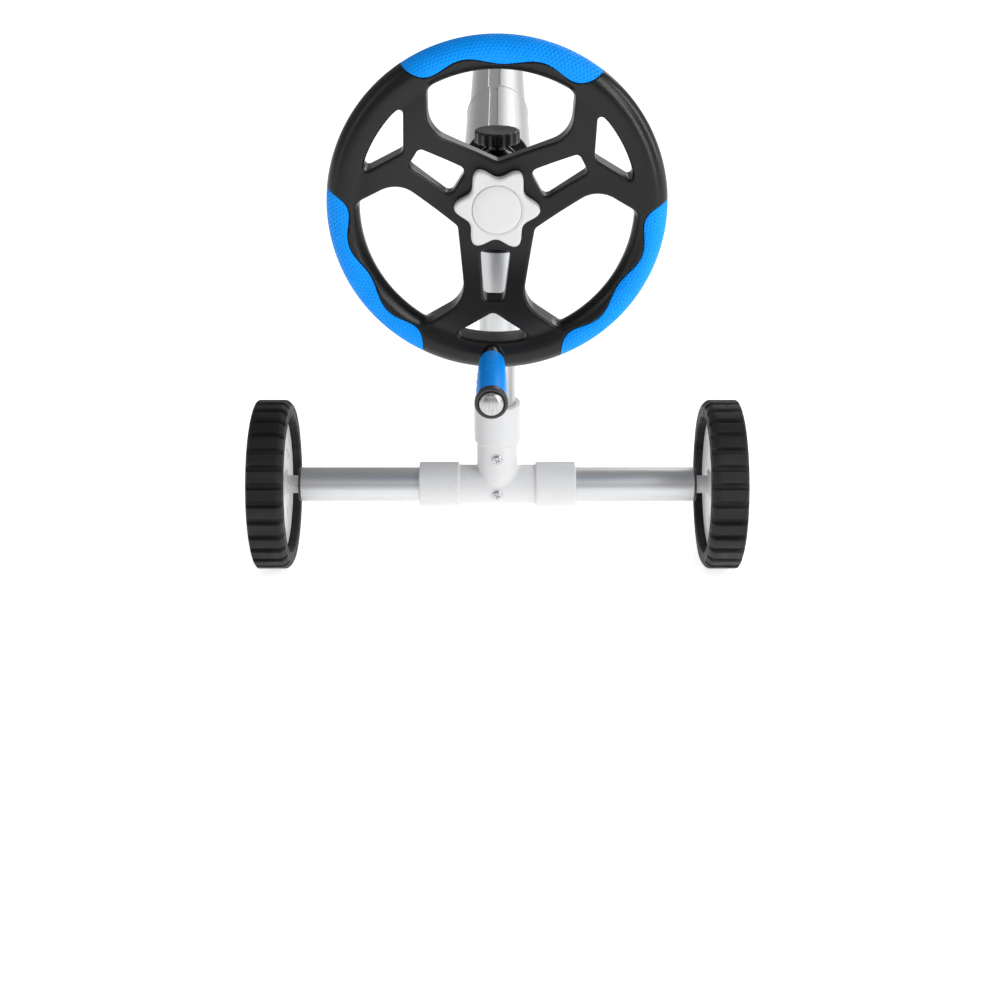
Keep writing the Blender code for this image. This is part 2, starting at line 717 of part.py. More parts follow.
def build():
    for old in list(bpy.data.objects):
        bpy.data.objects.remove(old)
    finishes = materials()

    front = body("front_stand", (0, FRONT_POST, 0), stand("front", FRONT_POST, -1), finishes)
    rear = body("rear_stand", (0, REAR_POST, 0), stand("rear", REAR_POST, 1), finishes, front)

    reel = handwheel() + [handle_bolt(), shaft_front()] + reel_end("front", FRONT_POST, 1)
    front_reel = body("front_reel", on_reel(FRONT_POST), reel, finishes, front)
    body("handle", handle_at(), handle(), finishes, front_reel)
    body("star_knob", on_reel(HANDWHEEL_Y), star_knob(), finishes, front_reel)
    body("lock_knob", on_reel(FRONT_POST), lock_knob(), finishes, front)

    middle = on_reel((FRONT_POST + REAR_POST) / 2)
    centre = body("centre_tube", middle, centre_section(), finishes, front_reel)
    at = on_reel(REAR_POST)
    body("rear_reel", at, [shaft_rear()] + reel_end("rear", REAR_POST, -1), finishes, centre)

    for end, post, holder in (("front", FRONT_POST, front), ("rear", REAR_POST, rear)):
        for hand, side in (("left", -1), ("right", 1)):
            pieces = road_wheel(end, hand, post, side)
            body(f"wheel_{end}_{hand}", (0, post, WHEEL_RADIUS), pieces, finishes, holder)


build()
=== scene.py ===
"""The cover reel's final look: fine meshes and materials over the CAD frame, a stage and a camera."""

import json
import math

import bmesh
import bpy
import numpy as np
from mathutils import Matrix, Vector
from mathutils.geometry import tessellate_polygon


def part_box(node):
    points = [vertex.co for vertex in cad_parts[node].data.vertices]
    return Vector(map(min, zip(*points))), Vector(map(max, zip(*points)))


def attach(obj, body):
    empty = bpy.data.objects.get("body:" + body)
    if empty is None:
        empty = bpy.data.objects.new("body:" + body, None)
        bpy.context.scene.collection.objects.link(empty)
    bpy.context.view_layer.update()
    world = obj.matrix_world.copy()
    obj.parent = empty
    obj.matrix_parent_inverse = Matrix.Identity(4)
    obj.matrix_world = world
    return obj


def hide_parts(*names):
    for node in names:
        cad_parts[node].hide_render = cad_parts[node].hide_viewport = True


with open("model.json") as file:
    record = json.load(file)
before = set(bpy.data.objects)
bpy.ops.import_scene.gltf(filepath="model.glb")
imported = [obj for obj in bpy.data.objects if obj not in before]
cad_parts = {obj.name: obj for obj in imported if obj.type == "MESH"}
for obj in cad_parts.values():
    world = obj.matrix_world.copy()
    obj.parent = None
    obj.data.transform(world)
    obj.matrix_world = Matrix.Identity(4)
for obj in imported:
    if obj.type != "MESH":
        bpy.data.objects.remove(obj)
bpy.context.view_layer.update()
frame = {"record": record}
RECORD = frame["record"]
BEHAVIOUR = RECORD["behaviour"]
BODY = {node: body for body, nodes in BEHAVIOUR["bodies"].items() for node in nodes}
PIVOT = {joint["name"]: Vector(joint["pos_m"]) for joint in BEHAVIOUR["joints"] if "pos_m" in joint}

# Points that the pieces are built round.
HUB = PIVOT["star_knob_turn"]
BEARING = {"front": PIVOT["reel_turn"]}
HANDLE = PIVOT["handle_spin"]
AXLE = {end: PIVOT[f"wheel_{end}_left_roll"] for end in ("front", "rear")}
BEARING["rear"] = Vector((0, AXLE["rear"].y, BEARING["front"].z))
OUTWARD = {"front": -1, "rear": 1}

# Holes that the hidden pins, studs and screws sit in.
SHAFT_BORE = 0.0123
STUD_HOLE = 0.0056
BOLT_HOLE = 0.0044
AXLE_HOLE = 0.0063
LOCK_HOLE = 0.0034
SCREW_HOLE = 0.0024
TUBE_CLEARANCE = 0.0003

# How far the handwheel and the tube's groove are turned from the top, in degrees.
WHEEL_TURN = math.degrees(math.atan2(HUB.x - HANDLE.x, HUB.z - HANDLE.z))
GROOVE_TURN = -7.0

TINY = 1e-9


# Outlines.


def clock(radius, degrees):
    """A point at an angle from the top, positive to the right when seen from the handwheel end."""
    angle = math.radians(degrees)
    return (radius * math.sin(angle), radius * math.cos(angle))


def turn(points, degrees):
    """Points turned as the hands of a clock turn."""
    cosine = math.cos(math.radians(degrees))
    sine = math.sin(math.radians(degrees))
    return [(x * cosine + z * sine, z * cosine - x * sine) for x, z in points]


def circle(radius, segments=96):
    return [clock(radius, 360.0 * step / segments) for step in range(segments)]


def rounded(corners, steps=8):
    """An outline from (point, radius) corners, each rounded by an arc in so many steps."""
    outline = []
    for index, (point, radius) in enumerate(corners):
        if radius == 0:
            outline.append(point)
            continue
        here = Vector(point)
        before = (Vector(corners[index - 1][0]) - here).normalized()
        after = (Vector(corners[(index + 1) % len(corners)][0]) - here).normalized()
        half = before.angle(after) / 2
        centre = here + (before + after).normalized() * (radius / math.sin(half))
        start = here + before * (radius / math.tan(half)) - centre
        end = here + after * (radius / math.tan(half)) - centre
        sweep = start.angle_signed(end)
        for step in range(steps + 1):
            angle = -sweep * step / steps
            x = start.x * math.cos(angle) - start.y * math.sin(angle)
            y = start.x * math.sin(angle) + start.y * math.cos(angle)
            outline.append((centre.x + x, centre.y + y))
    return outline


# Meshes.


def place(axis, first, second, height):
    if axis == "X":
        return Vector((height, first, second))
    if axis == "Y":
        return Vector((first, height, second))
    return Vector((first, second, height))


def link(name, mesh, at):
    made = bpy.data.objects.new(name, mesh)
    made.location = at
    bpy.context.scene.collection.objects.link(made)
    return made


def solid(name, shape, at):
    bmesh.ops.recalc_face_normals(shape, faces=shape.faces)
    mesh = bpy.data.meshes.new(name)
    shape.to_mesh(mesh)
    shape.free()
    return link(name, mesh, at)


def bridge(shape, lower, upper):
    """Faces between two rings of vertices, either of which may be a single point."""
    count = max(len(lower), len(upper))
    for step in range(count):
        after = (step + 1) % count
        corners = [lower[step % len(lower)], lower[after % len(lower)]]
        corners += [upper[after % len(upper)], upper[step % len(upper)]]
        shape.faces.new(list(dict.fromkeys(corners)))


def turned(name, profile, axis, at, segments=96):
    """A turned solid. Its (radius, height) points start and end on the axis, or form a ring."""
    shape = bmesh.new()
    rings = []
    for radius, height in profile:
        if radius < TINY:
            rings.append([shape.verts.new(place(axis, 0, 0, height))])
            continue
        points = circle(radius, segments)
        rings.append([shape.verts.new(place(axis, *point, height)) for point in points])
    pairs = list(zip(rings, rings[1:]))
    if profile[0][0] >= TINY:
        pairs.append((rings[-1], rings[0]))
    for lower, upper in pairs:
        bridge(shape, lower, upper)
    return solid(name, shape, at)


def prism(name, loops, axis, start, end, at):
    """An outline, followed by the outlines of its holes, drawn out along an axis."""
    shape = bmesh.new()
    faces = tessellate_polygon([[Vector((*point, 0)) for point in loop] for loop in loops])
    caps = []
    for height in (start, end):
        cap = [shape.verts.new(place(axis, *point, height)) for loop in loops for point in loop]
        for corners in faces:
            shape.faces.new([cap[corner] for corner in corners])
        caps.append(cap)
    offset = 0
    for loop in loops:
        bridge(shape, *[cap[offset : offset + len(loop)] for cap in caps])
        offset += len(loop)
    return solid(name, shape, at)


def bevel(piece, width, segments=3, angle=30):
    step = piece.modifiers.new("bevel", "BEVEL")
    step.width = width
    step.segments = segments
    step.limit_method = "ANGLE"
    step.angle_limit = math.radians(angle)
    return piece


def combine(target, others, operation):
    """Applies the target's modifiers and a Boolean of the other objects, and removes those."""
    for other in others:
        step = target.modifiers.new("combine", "BOOLEAN")
        step.operation = operation
        step.solver = "EXACT"
        step.object = other
    bpy.context.view_layer.update()
    graph = bpy.context.evaluated_depsgraph_get()
    result = bpy.data.meshes.new_from_object(target.evaluated_get(graph))
    target.modifiers.clear()
    target.data = result
    for other in others:
        bpy.data.objects.remove(other)
    return target


def middle_of(node):
    low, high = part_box(node)
    return (low + high) / 2


def reach_ahead(node, at):
    """How far ahead of a point a CAD node's back and front lie, on the handwheel's side."""
    low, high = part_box(node)
    return at.y - high.y, at.y - low.y


def reach_along(node, end):
    """How far inwards and outwards from its bearing a CAD node reaches along the reel."""
    start, stop = reach_ahead(node, BEARING[end])
    return (-start, stop) if OUTWARD[end] < 0 else (stop, -start)


def turned_ahead(name, profile, at, segments=96):
    """A turned solid on the reel's axis, whose heights count ahead of a point."""
    return turned(name, [(radius, -height) for radius, height in profile], "Y", at, segments)


# Moulded shapes, described by a field that is negative inside them.


def smooth_min(a, b, blend):
    near = np.clip(0.5 + 0.5 * (b - a) / blend, 0.0, 1.0)
    return b + (a - b) * near - blend * near * (1.0 - near)


def smooth_max(a, b, blend):
    return -smooth_min(-a, -b, blend)


def slab(flat, height, low, high, edge):
    """A field drawn out from a flat one between two heights, with rounded edges."""
    across = flat + edge
    along = np.abs(height - (low + high) / 2) - (high - low) / 2 + edge
    outside = np.hypot(np.maximum(across, 0), np.maximum(along, 0))
    return outside + np.minimum(np.maximum(across, along), 0) - edge


def drum(radius, first, second, height, low, high, edge):
    return slab(np.hypot(first, second) - radius, height, low, high, edge)


def outline_field(loops, reach, pitch=0.0008):
    """A function that gives the distance to flat outlines, negative between the first and its holes."""
    count = int(2 * reach / pitch) + 2
    steps = -reach + pitch * np.arange(count)
    px, pz = [part.ravel() for part in np.meshgrid(steps, steps, indexing="ij")]
    nearest = np.full(px.shape, np.inf)
    inside = np.zeros(px.shape, bool)
    for loop in loops:
        for (ax, az), (bx, bz) in zip(loop, loop[1:] + loop[:1]):
            ex, ez = bx - ax, bz - az
            along = np.clip(((px - ax) * ex + (pz - az) * ez) / (ex * ex + ez * ez), 0, 1)
            nearest = np.minimum(nearest, (px - ax - along * ex) ** 2 + (pz - az - along * ez) ** 2)
            if az != bz:
                crosses = (az > pz) != (bz > pz)
                inside ^= crosses & (px < ax + ex * (pz - az) / ez)
    flat = np.where(inside, -np.sqrt(nearest), np.sqrt(nearest)).reshape(count, count)

    def sample(x, z):
        u = np.clip((x + reach) / pitch, 0, count - 1.001)
        v = np.clip((z + reach) / pitch, 0, count - 1.001)
        i, j = u.astype(int), v.astype(int)
        u, v = u - i, v - j
        low = flat[i, j] * (1 - u) + flat[i + 1, j] * u
        high = flat[i, j + 1] * (1 - u) + flat[i + 1, j + 1] * u
        return low * (1 - v) + high * v

    return sample


def moulded(name, field, low, high, cell, at):
    """A closed mesh of the surface where a field of local x, y and z is zero."""
    counts = [int((b - a) / cell) + 2 for a, b in zip(low, high)]
    grid = np.meshgrid(*[a + cell * np.arange(n) for a, n in zip(low, counts)], indexing="ij")
    values = field(*grid)
    shape = tuple(n - 1 for n in counts)
    size = int(np.prod(shape))
    total = np.zeros((3, size))
    found = np.zeros(size)
    quads = []
    for axis in range(3):
        first, second = (axis + 1) % 3, (axis + 2) % 3
        here = np.take(values, range(counts[axis] - 1), axis)
        there = np.take(values, range(1, counts[axis]), axis)
        crossing = (here < 0) != (there < 0)
        index = np.argwhere(crossing)
        start, end = here[crossing], there[crossing]
        point = index.astype(float)
        point[:, axis] += start / (start - end)
        cells = []
        for back_first, back_second in ((1, 1), (0, 1), (0, 0), (1, 0)):
            place_in = index.copy()
            place_in[:, first] -= back_first
            place_in[:, second] -= back_second
            cells.append(np.ravel_multi_index(place_in.T, shape))
            for part in range(3):
                total[part] += np.bincount(cells[-1], point[:, part], size)
            found += np.bincount(cells[-1], minlength=size)
        quad = np.stack(cells, 1)
        quads.append(np.where((start < 0)[:, None], quad, quad[:, ::-1]))
    used = np.flatnonzero(found)
    number = np.zeros(size, int)
    number[used] = np.arange(len(used))
    points = np.array(low)[:, None] + cell * total[:, used] / found[used]
    for _ in range(3):
        value = field(*points)
        slope = np.zeros_like(points)
        for part in range(3):
            ahead, behind = points.copy(), points.copy()
            ahead[part] += 0.05 * cell
            behind[part] -= 0.05 * cell
            slope[part] = (field(*ahead) - field(*behind)) / (0.1 * cell)
        step = value * slope / np.maximum((slope**2).sum(0), 0.05)
        points -= np.clip(step, -0.4 * cell, 0.4 * cell)
    return link(name, mesh_of(name, points.T, number[np.concatenate(quads)]), at)


def mesh_of(name, points, quads):
    mesh = bpy.data.meshes.new(name)
    mesh.vertices.add(len(points))
    mesh.vertices.foreach_set("co", np.ascontiguousarray(points, np.float32).ravel())
    mesh.loops.add(4 * len(quads))
    mesh.loops.foreach_set("vertex_index", np.ascontiguousarray(quads, np.int32).ravel())
    mesh.polygons.add(len(quads))
    mesh.polygons.foreach_set("loop_start", 4 * np.arange(len(quads), dtype=np.int32))
    mesh.update(calc_edges=True)
    mesh.validate()
    return mesh


def wrapped(name, rings, at, closed=False):
    """A closed mesh from rings of points: capped at both ends, or joined end to end."""
    points = np.asarray(rings, float)
    count, around = points.shape[:2]
    index = np.arange(count * around).reshape(count, around)
    if closed:
        index = np.vstack([index, index[:1]])
    low, high = index[:-1], index[1:]
    quads = np.stack([low, np.roll(low, -1, 1), np.roll(high, -1, 1), high], 2).reshape(-1, 4)
    made = mesh_of(name, points.reshape(-1, 3), quads)
    shape = bmesh.new()
    shape.from_mesh(made)
    bpy.data.meshes.remove(made)
    if not closed:
        shape.verts.ensure_lookup_table()
        shape.faces.new([shape.verts[i] for i in index[0]])
        shape.faces.new([shape.verts[i] for i in index[-1]])
    return solid(name, shape, at)


# Materials.


class Finish:
    """A Principled material with helpers for its noise."""

    def __init__(self, name, colour, roughness, metallic=0.0, **values):
        self.material = bpy.data.materials.new(name)
        self.material.use_nodes = True
        self.nodes = self.material.node_tree.nodes
        self.links = self.material.node_tree.links
        self.shader = self.nodes["Principled BSDF"]
        self.colour = colour
        self.set("Base Color", (*colour, 1.0))
        self.set("Roughness", roughness)
        self.set("Metallic", metallic)
        for socket, value in values.items():
            self.set(socket.replace("_", " "), value)

    def set(self, socket, value):
        self.shader.inputs[socket].default_value = value

    def noise(self, scale, detail=3.0, stretch=(1, 1, 1)):
        """Noise in the object's own space, drawn out along an axis whose stretch is small."""
        where = self.nodes.new("ShaderNodeTexCoord")
        mapping = self.nodes.new("ShaderNodeMapping")
        mapping.inputs["Scale"].default_value = stretch
        noise = self.nodes.new("ShaderNodeTexNoise")
        noise.inputs["Scale"].default_value = scale
        noise.inputs["Detail"].default_value = detail
        self.links.new(where.outputs["Object"], mapping.inputs["Vector"])
        self.links.new(mapping.outputs["Vector"], noise.inputs["Vector"])
        return noise.outputs["Fac"]

    def spread(self, source, low, high, socket):
        """Drives a socket with noise between two values."""
        ramp = self.nodes.new("ShaderNodeMapRange")
        ramp.inputs["From Min"].default_value = 0.3
        ramp.inputs["From Max"].default_value = 0.7
        ramp.inputs["To Min"].default_value = low
        ramp.inputs["To Max"].default_value = high
        self.links.new(source, ramp.inputs["Value"])
        self.links.new(ramp.outputs["Result"], self.shader.inputs[socket])
        return self

    def tint(self, source, low, high):
        """Varies the colour's brightness with noise between two factors."""
        ramp = self.nodes.new("ShaderNodeValToRGB")
        ramp.color_ramp.elements[0].position = 0.3
        ramp.color_ramp.elements[0].color = (*[low * part for part in self.colour], 1.0)
        ramp.color_ramp.elements[1].position = 0.7
        ramp.color_ramp.elements[1].color = (*[high * part for part in self.colour], 1.0)
        self.links.new(source, ramp.inputs["Fac"])
        self.links.new(ramp.outputs["Color"], self.shader.inputs["Base Color"])
        return self

    def bump(self, source, distance, strength=1.0):
        bump = self.nodes.new("ShaderNodeBump")
        bump.inputs["Strength"].default_value = strength
        bump.inputs["Distance"].default_value = distance
        self.links.new(source, bump.inputs["Height"])
        self.links.new(bump.outputs["Normal"], self.shader.inputs["Normal"])
        return self


def black_plastic():
    made = Finish("satin_black_plastic", (0.004, 0.004, 0.0045), 0.32, Specular_IOR_Level=0.34)
    grain = made.noise(900, 2)
    return made.spread(made.noise(14, 4), 0.26, 0.38, "Roughness").bump(grain, 0.00003, 0.25).material


def blue_grip():
    made = Finish("soft_blue_grip", (0.0, 0.31, 1.0), 0.42, Specular_IOR_Level=0.14)
    made.tint(made.noise(40, 3), 0.93, 1.04)
    return made.bump(made.noise(1500, 2), 0.00005, 0.6).material


def dark_plastic():
    made = Finish("dark_plastic", (0.03, 0.03, 0.032), 0.35)
    return made.bump(made.noise(900, 2), 0.00005, 0.4).material


def white_plastic():
    made = Finish("light_grey_plastic", (0.74, 0.74, 0.74), 0.32, Specular_IOR_Level=0.45)
    made.spread(made.noise(25, 3), 0.26, 0.36, "Roughness")
    made.tint(made.noise(12, 3), 0.97, 1.01)
    return made.bump(made.noise(500, 2), 0.00005, 0.25).material


def aluminium(name, stretch):
    made = Finish(name, (0.66, 0.665, 0.67), 0.42, 1.0)
    lines = made.noise(900, 4, stretch)
    made.spread(lines, 0.38, 0.5, "Roughness")
    made.tint(made.noise(300, 4, stretch), 0.94, 1.03)
    return made.bump(lines, 0.00003, 0.5).material


def steel():
    made = Finish("brushed_steel", (0.56, 0.56, 0.57), 0.25, 1.0)
    return made.spread(made.noise(200, 4, (1, 0.1, 1)), 0.2, 0.34, "Roughness").material


def brushed_dome():
    made = Finish("brushed_dome", (0.55, 0.55, 0.56), 0.3, 1.0)
    lines = made.noise(700, 4, (1, 1, 0.08))
    made.tint(lines, 0.75, 1.1)
    return made.spread(lines, 0.24, 0.42, "Roughness").bump(lines, 0.00004, 0.5).material


def tyre_rubber():
    made = Finish("tyre_rubber", (0.007, 0.007, 0.007), 0.6, Specular_IOR_Level=0.3)
    made.tint(made.noise(26, 5, (0.3, 1, 1)), 0.3, 3.2)
    made.spread(made.noise(60, 4), 0.5, 0.72, "Roughness")
    return made.bump(made.noise(420, 4), 0.00025, 0.6).material


LOOK = {
    "black": black_plastic(),
    "blue": blue_grip(),
    "dark": dark_plastic(),
    "white": white_plastic(),
    "along_y": aluminium("drawn_aluminium_along_reel", (1, 0.01, 1)),
    "along_x": aluminium("drawn_aluminium_across", (0.01, 1, 1)),
    "along_z": aluminium("drawn_aluminium_upright", (1, 1, 0.01)),
    "steel": steel(),
    "dome": brushed_dome(),
    "rubber": tyre_rubber(),
}


def show(piece, node, look, sharp=35):
    """Gives a piece its material and smooth shading, and puts it in the place of a CAD node."""
    piece.data.materials.clear()
    piece.data.materials.append(LOOK[look])
    piece.data.shade_smooth()
    if sharp:
        piece.data.set_sharp_from_angle(angle=math.radians(sharp))
    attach(piece, BODY[node])
    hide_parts(node)
    return piece


# Handwheel.

RIM_CENTRE = 0.157
RIM_HALF_WIDTH = 0.017
RIM_HALF_DEPTH = 0.0185
PLATE_BACK = -0.022
PLATE_FRONT = -0.002
PLATE_RISE = 0.016
HUB_BACK = -0.059
PAD_THICKNESS = 0.003
PAD_REACH = 35.2
PAD_MIDDLES = {"top": 0.0, "right": 120.0, "left": 240.0}
SEAM = 0.0005
HANDLE_ROOT = 0.032
HUB_RADIUS = 0.030
BOSS_RADIUS = 0.0120
# The mean radius of the rim's section, which turns angles round it into lengths.
SECTION_RADIUS = 0.0177


def spoke_outlines():
    """Three spokes as one star, with two windows in each, in the handwheel's plane."""
    corners = []
    windows = []
    for third in range(3):
        middle = 120.0 * third
        arc = [(clock(0.150, 29.6 + 60.8 * step / 24), 0) for step in range(25)]
        spoke = [((0, 0.046), 0.007), ((0.0718, 0.0759), 0.030)]
        spoke += arc + [(clock(0.1045, 120 - 43.4), 0.030)]
        corners += [(turn([point], middle)[0], radius) for point, radius in spoke]
        slot = [((0.0152, 0.0470), 0.0055), ((0.0102, 0.0985), 0.0045), ((-0.0102, 0.0985), 0.0045)]
        slot.append(((-0.0152, 0.0470), 0.0055))
        windows.append(turn(rounded(slot), middle + 60))
        base = [(clock(0.1420, 11.0 - 22.0 * step / 12), 0) for step in range(13)]
        tips = [(clock(0.1412, side * 16.6), 0.0036) for side in (1, -1)]
        triangle = [((0, 0.1115), 0.007), tips[0]] + base + [tips[1]]
        windows.append(turn(rounded(triangle), middle + 60))
    return [turn(loop, WHEEL_TURN) for loop in [rounded(corners, 12)] + windows]


def pad_edge(degrees):
    """How far a grip reaches round the rim's section, each way, at an angle from its middle."""
    share = np.clip(np.abs(degrees) / PAD_REACH, 0, 1)
    wave = 111.0 + 15.0 * np.cos(np.radians(degrees * 360.0 / 30.0))
    return np.radians(wave) * np.sqrt(1.0 - share**8)


def rim_field(x, w, z):
    """The rim's oval ring, and a point's angle round its section."""
    radius = np.hypot(x, z)
    across = (radius - RIM_CENTRE) / RIM_HALF_WIDTH
    ahead = w / RIM_HALF_DEPTH
    size = np.hypot(across, ahead)
    return (size - 1.0) * SECTION_RADIUS, np.arctan2(ahead, across)


def handwheel():
    loops = spoke_outlines()
    spokes = outline_field(loops, 0.156)
    windows = outline_field(loops[1:], 0.156)
    handle_x, handle_z = HANDLE.x - HUB.x, HANDLE.z - HUB.z

    def field(x, y, z):
        w = -y
        radius = np.hypot(x, z)
        rim, section = rim_field(x, w, z)
        share = np.clip((radius - 0.050) / 0.090, 0, 1)
        rise = PLATE_RISE * share * share * (3 - 2 * share)
        plate = slab(spokes(x, z), w, PLATE_BACK, PLATE_FRONT + rise, 0.0030)
        shape = smooth_min(rim, plate, 0.007)
        cut = smooth_max(windows(x, z), np.abs(w) - 0.03, 0.001)
        shape = smooth_max(shape, -cut, 0.0022)
        hub = drum(HUB_RADIUS, x, z, w, HUB_BACK, -0.004, 0.002)
        shape = smooth_min(shape, hub, 0.004)
        from_handle = np.hypot(x - handle_x, z - handle_z)
        boss = slab(from_handle - BOSS_RADIUS, w, 0.008, HANDLE_ROOT - 0.0004, 0.0010)
        shape = smooth_min(shape, boss, 0.0015)
        angle = np.degrees(np.arctan2(x, z)) - WHEEL_TURN
        for middle in PAD_MIDDLES.values():
            from_middle = (angle - middle + 180.0) % 360.0 - 180.0
            zone = (np.abs(section) - pad_edge(from_middle)) * SECTION_RADIUS - SEAM
            cut = np.maximum(zone, -(rim + PAD_THICKNESS + SEAM))
            cut = np.where(np.abs(from_middle) < PAD_REACH + 0.4, cut, 0.01)
            shape = np.maximum(shape, -cut)
        bore = slab(radius - SHAFT_BORE, w, -0.09, -0.0080, 0.0)
        stud = radius - STUD_HOLE
        pin = np.maximum(from_handle - BOLT_HOLE, -0.006 - w)
        return np.maximum(np.maximum(shape, -bore), np.maximum(-stud, -pin))

    reach = RIM_CENTRE + RIM_HALF_WIDTH + 0.004
    cell = 0.0014
    corner = Vector((reach, 0.063, reach))
    made = moulded("handwheel_moulding", field, (-reach, -0.036, -reach), corner, cell, HUB)
    show(made, "handwheel", "black", 0)


DIMPLE_PITCH = 0.0042
DIMPLE_RADIUS = 0.0012
DIMPLE_DEPTH = 0.0009


def dimples(along, around):
    """A field of small round hollows on a staggered grid, 1 at each hollow's middle."""
    row_pitch = DIMPLE_PITCH * 0.866
    row = np.round(around / row_pitch)
    offset = np.where(row % 2 == 0, 0.0, DIMPLE_PITCH / 2)
    first = (along - offset) / DIMPLE_PITCH
    first = (first - np.round(first)) * DIMPLE_PITCH
    second = around - row * row_pitch
    return np.exp(-((np.hypot(first, second) / DIMPLE_RADIUS) ** 2))


def grip(label):
    """A soft pad let into the rim: wavy edges, a pillowed border and rows of fine dimples."""
    stations = 330
    outer_steps = 120
    inner_steps = 16
    share = np.linspace(-1, 1, outer_steps + 1)
    inner_share = np.linspace(1, -1, inner_steps + 1)
    rings = []
    for degrees in np.linspace(-PAD_REACH + 0.02, PAD_REACH - 0.02, stations):
        edge = pad_edge(degrees)
        section = share * edge
        inward = (edge - np.abs(section)) * SECTION_RADIUS
        border = np.sqrt(np.clip(1.0 - (1.0 - np.clip(inward / 0.0014, 0, 1)) ** 2, 0, 1))
        along = math.radians(degrees) * RIM_CENTRE
        raised = 0.0002 - 0.0011 * (1 - border)
        raised = raised - DIMPLE_DEPTH * dimples(along, section * SECTION_RADIUS) * border
        inner = inner_share * edge
        section = np.concatenate([section, inner])
        raised = np.concatenate([raised, np.full(inner.shape, -PAD_THICKNESS)])
        radius = RIM_CENTRE + (RIM_HALF_WIDTH - 0.0003 + raised) * np.cos(section)
        depth = (RIM_HALF_DEPTH + raised) * np.sin(section)
        angle = math.radians(degrees + PAD_MIDDLES[label] + WHEEL_TURN)
        rings.append(np.stack([radius * math.sin(angle), -depth, radius * math.cos(angle)], 1))
    show(wrapped(f"grip_{label}_pad", rings, HUB), f"grip_{label}", "blue", 60)


# Star knob.


CAP_RECESS = 0.0253


def star_knob():
    back, face = reach_ahead("star_knob", HUB)

    def field(x, y, z):
        w = -y
        radius = np.hypot(x, z)
        angle = np.arctan2(x, z) - math.radians(90 + WHEEL_TURN)
        lobe = 0.0371 + 0.0060 * np.cos(6 * angle) + 0.0006 * np.cos(12 * angle)
        flat = (radius - lobe) * 0.86
        shape = slab(flat, w, back, face, 0.0034)
        shape = np.maximum(shape, -slab(radius - CAP_RECESS, w, face - 0.0030, face + 0.01, 0.0))
        groove = np.hypot(radius - CAP_RECESS - 0.0012, w - face) - 0.0006
        shape = smooth_max(shape, -groove, 0.0006)
        return np.maximum(shape, -slab(radius - 0.0053, w, -0.1, back + 0.0095, 0.0))

    cell = 0.0007
    corner = (0.047, -back + 0.002, 0.047)
    knob = moulded("star_knob_body", field, (-0.047, -face - 0.002, -0.047), corner, cell, HUB)
    show(knob, "star_knob", "white", 0)

    bottom, top = reach_ahead("star_knob_cap", HUB)
    profile = [(0, bottom), (0.0250, bottom), (0.0250, top - 0.0012), (0.0247, top - 0.0006)]
    profile += [(0.0240, top - 0.0003), (0.0150, top - 0.0001), (0, top)]
    show(turned_ahead("star_knob_cap_disc", profile, HUB, 128), "star_knob_cap", "white", 30)
    threaded("star_knob_thread", "star_knob_stud", "Y", 0.005, "steel")


def threaded(name, node, axis, radius, look, pitch=0.0015):
    """A stud with a fine turned thread, over the length of its CAD node."""
    low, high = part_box(node)
    index = "XYZ".index(axis)
    centre = (low + high) / 2
    half = (high[index] - low[index]) / 2
    profile = [(0, -half)]
    steps = int(2 * half / pitch * 4)
    for step in range(steps + 1):
        height = -half + 2 * half * step / steps
        profile.append((radius - (0.0005 if step % 4 in (1, 2) else 0.0), height))
    profile.append((0, half))
    show(turned(name, profile, axis, centre, 48), node, look, 30)


# Spinner handle.


def handle_sleeve():
    """The blue sleeve, which swells towards its end and has chevron ridges."""
    root, end = reach_ahead("handle_sleeve", HANDLE)
    length = end - root
    around = 144
    angles = np.linspace(0, math.tau, around, endpoint=False)
    rings = []

    def ring(distance, radius):
        radius = np.broadcast_to(radius, angles.shape)
        along = np.full(around, -distance)
        rings.append(np.stack([radius * np.sin(angles), along, radius * np.cos(angles)], 1))

    for radius in (BOLT_HOLE, 0.0110, 0.0120, 0.0127):
        ring(root + (0.0 if radius < 0.012 else 0.0003 * (radius - 0.0117) / 0.001), radius)
    for step in range(150):
        share = step / 149
        distance = root + 0.0006 + (length - 0.0008) * share
        belly = 0.0131 + 0.0022 * share + 0.0006 * math.sin(math.pi * share)
        lead = min(1.0, (share + 0.01) / 0.03)
        waves = np.abs((angles * 4 / math.tau) % 1.0 - 0.5)
        chevron = ((distance - root) / 0.020 + waves * 1.3) % 1.0
        ridge = np.exp(-(((chevron - 0.5) / 0.035) ** 2)) * math.sin(math.pi * share) ** 0.5
        ring(distance, (belly + 0.0005 * ridge) * lead + 0.0127 * (1 - lead))
    ring(end, 0.0150)
    ring(end, 0.0078)
    ring(end - 0.0044, 0.0076)
    ring(end - 0.0044, BOLT_HOLE)
    show(wrapped("handle_sleeve_grip", rings, HANDLE, closed=True), "handle_sleeve", "blue", 40)


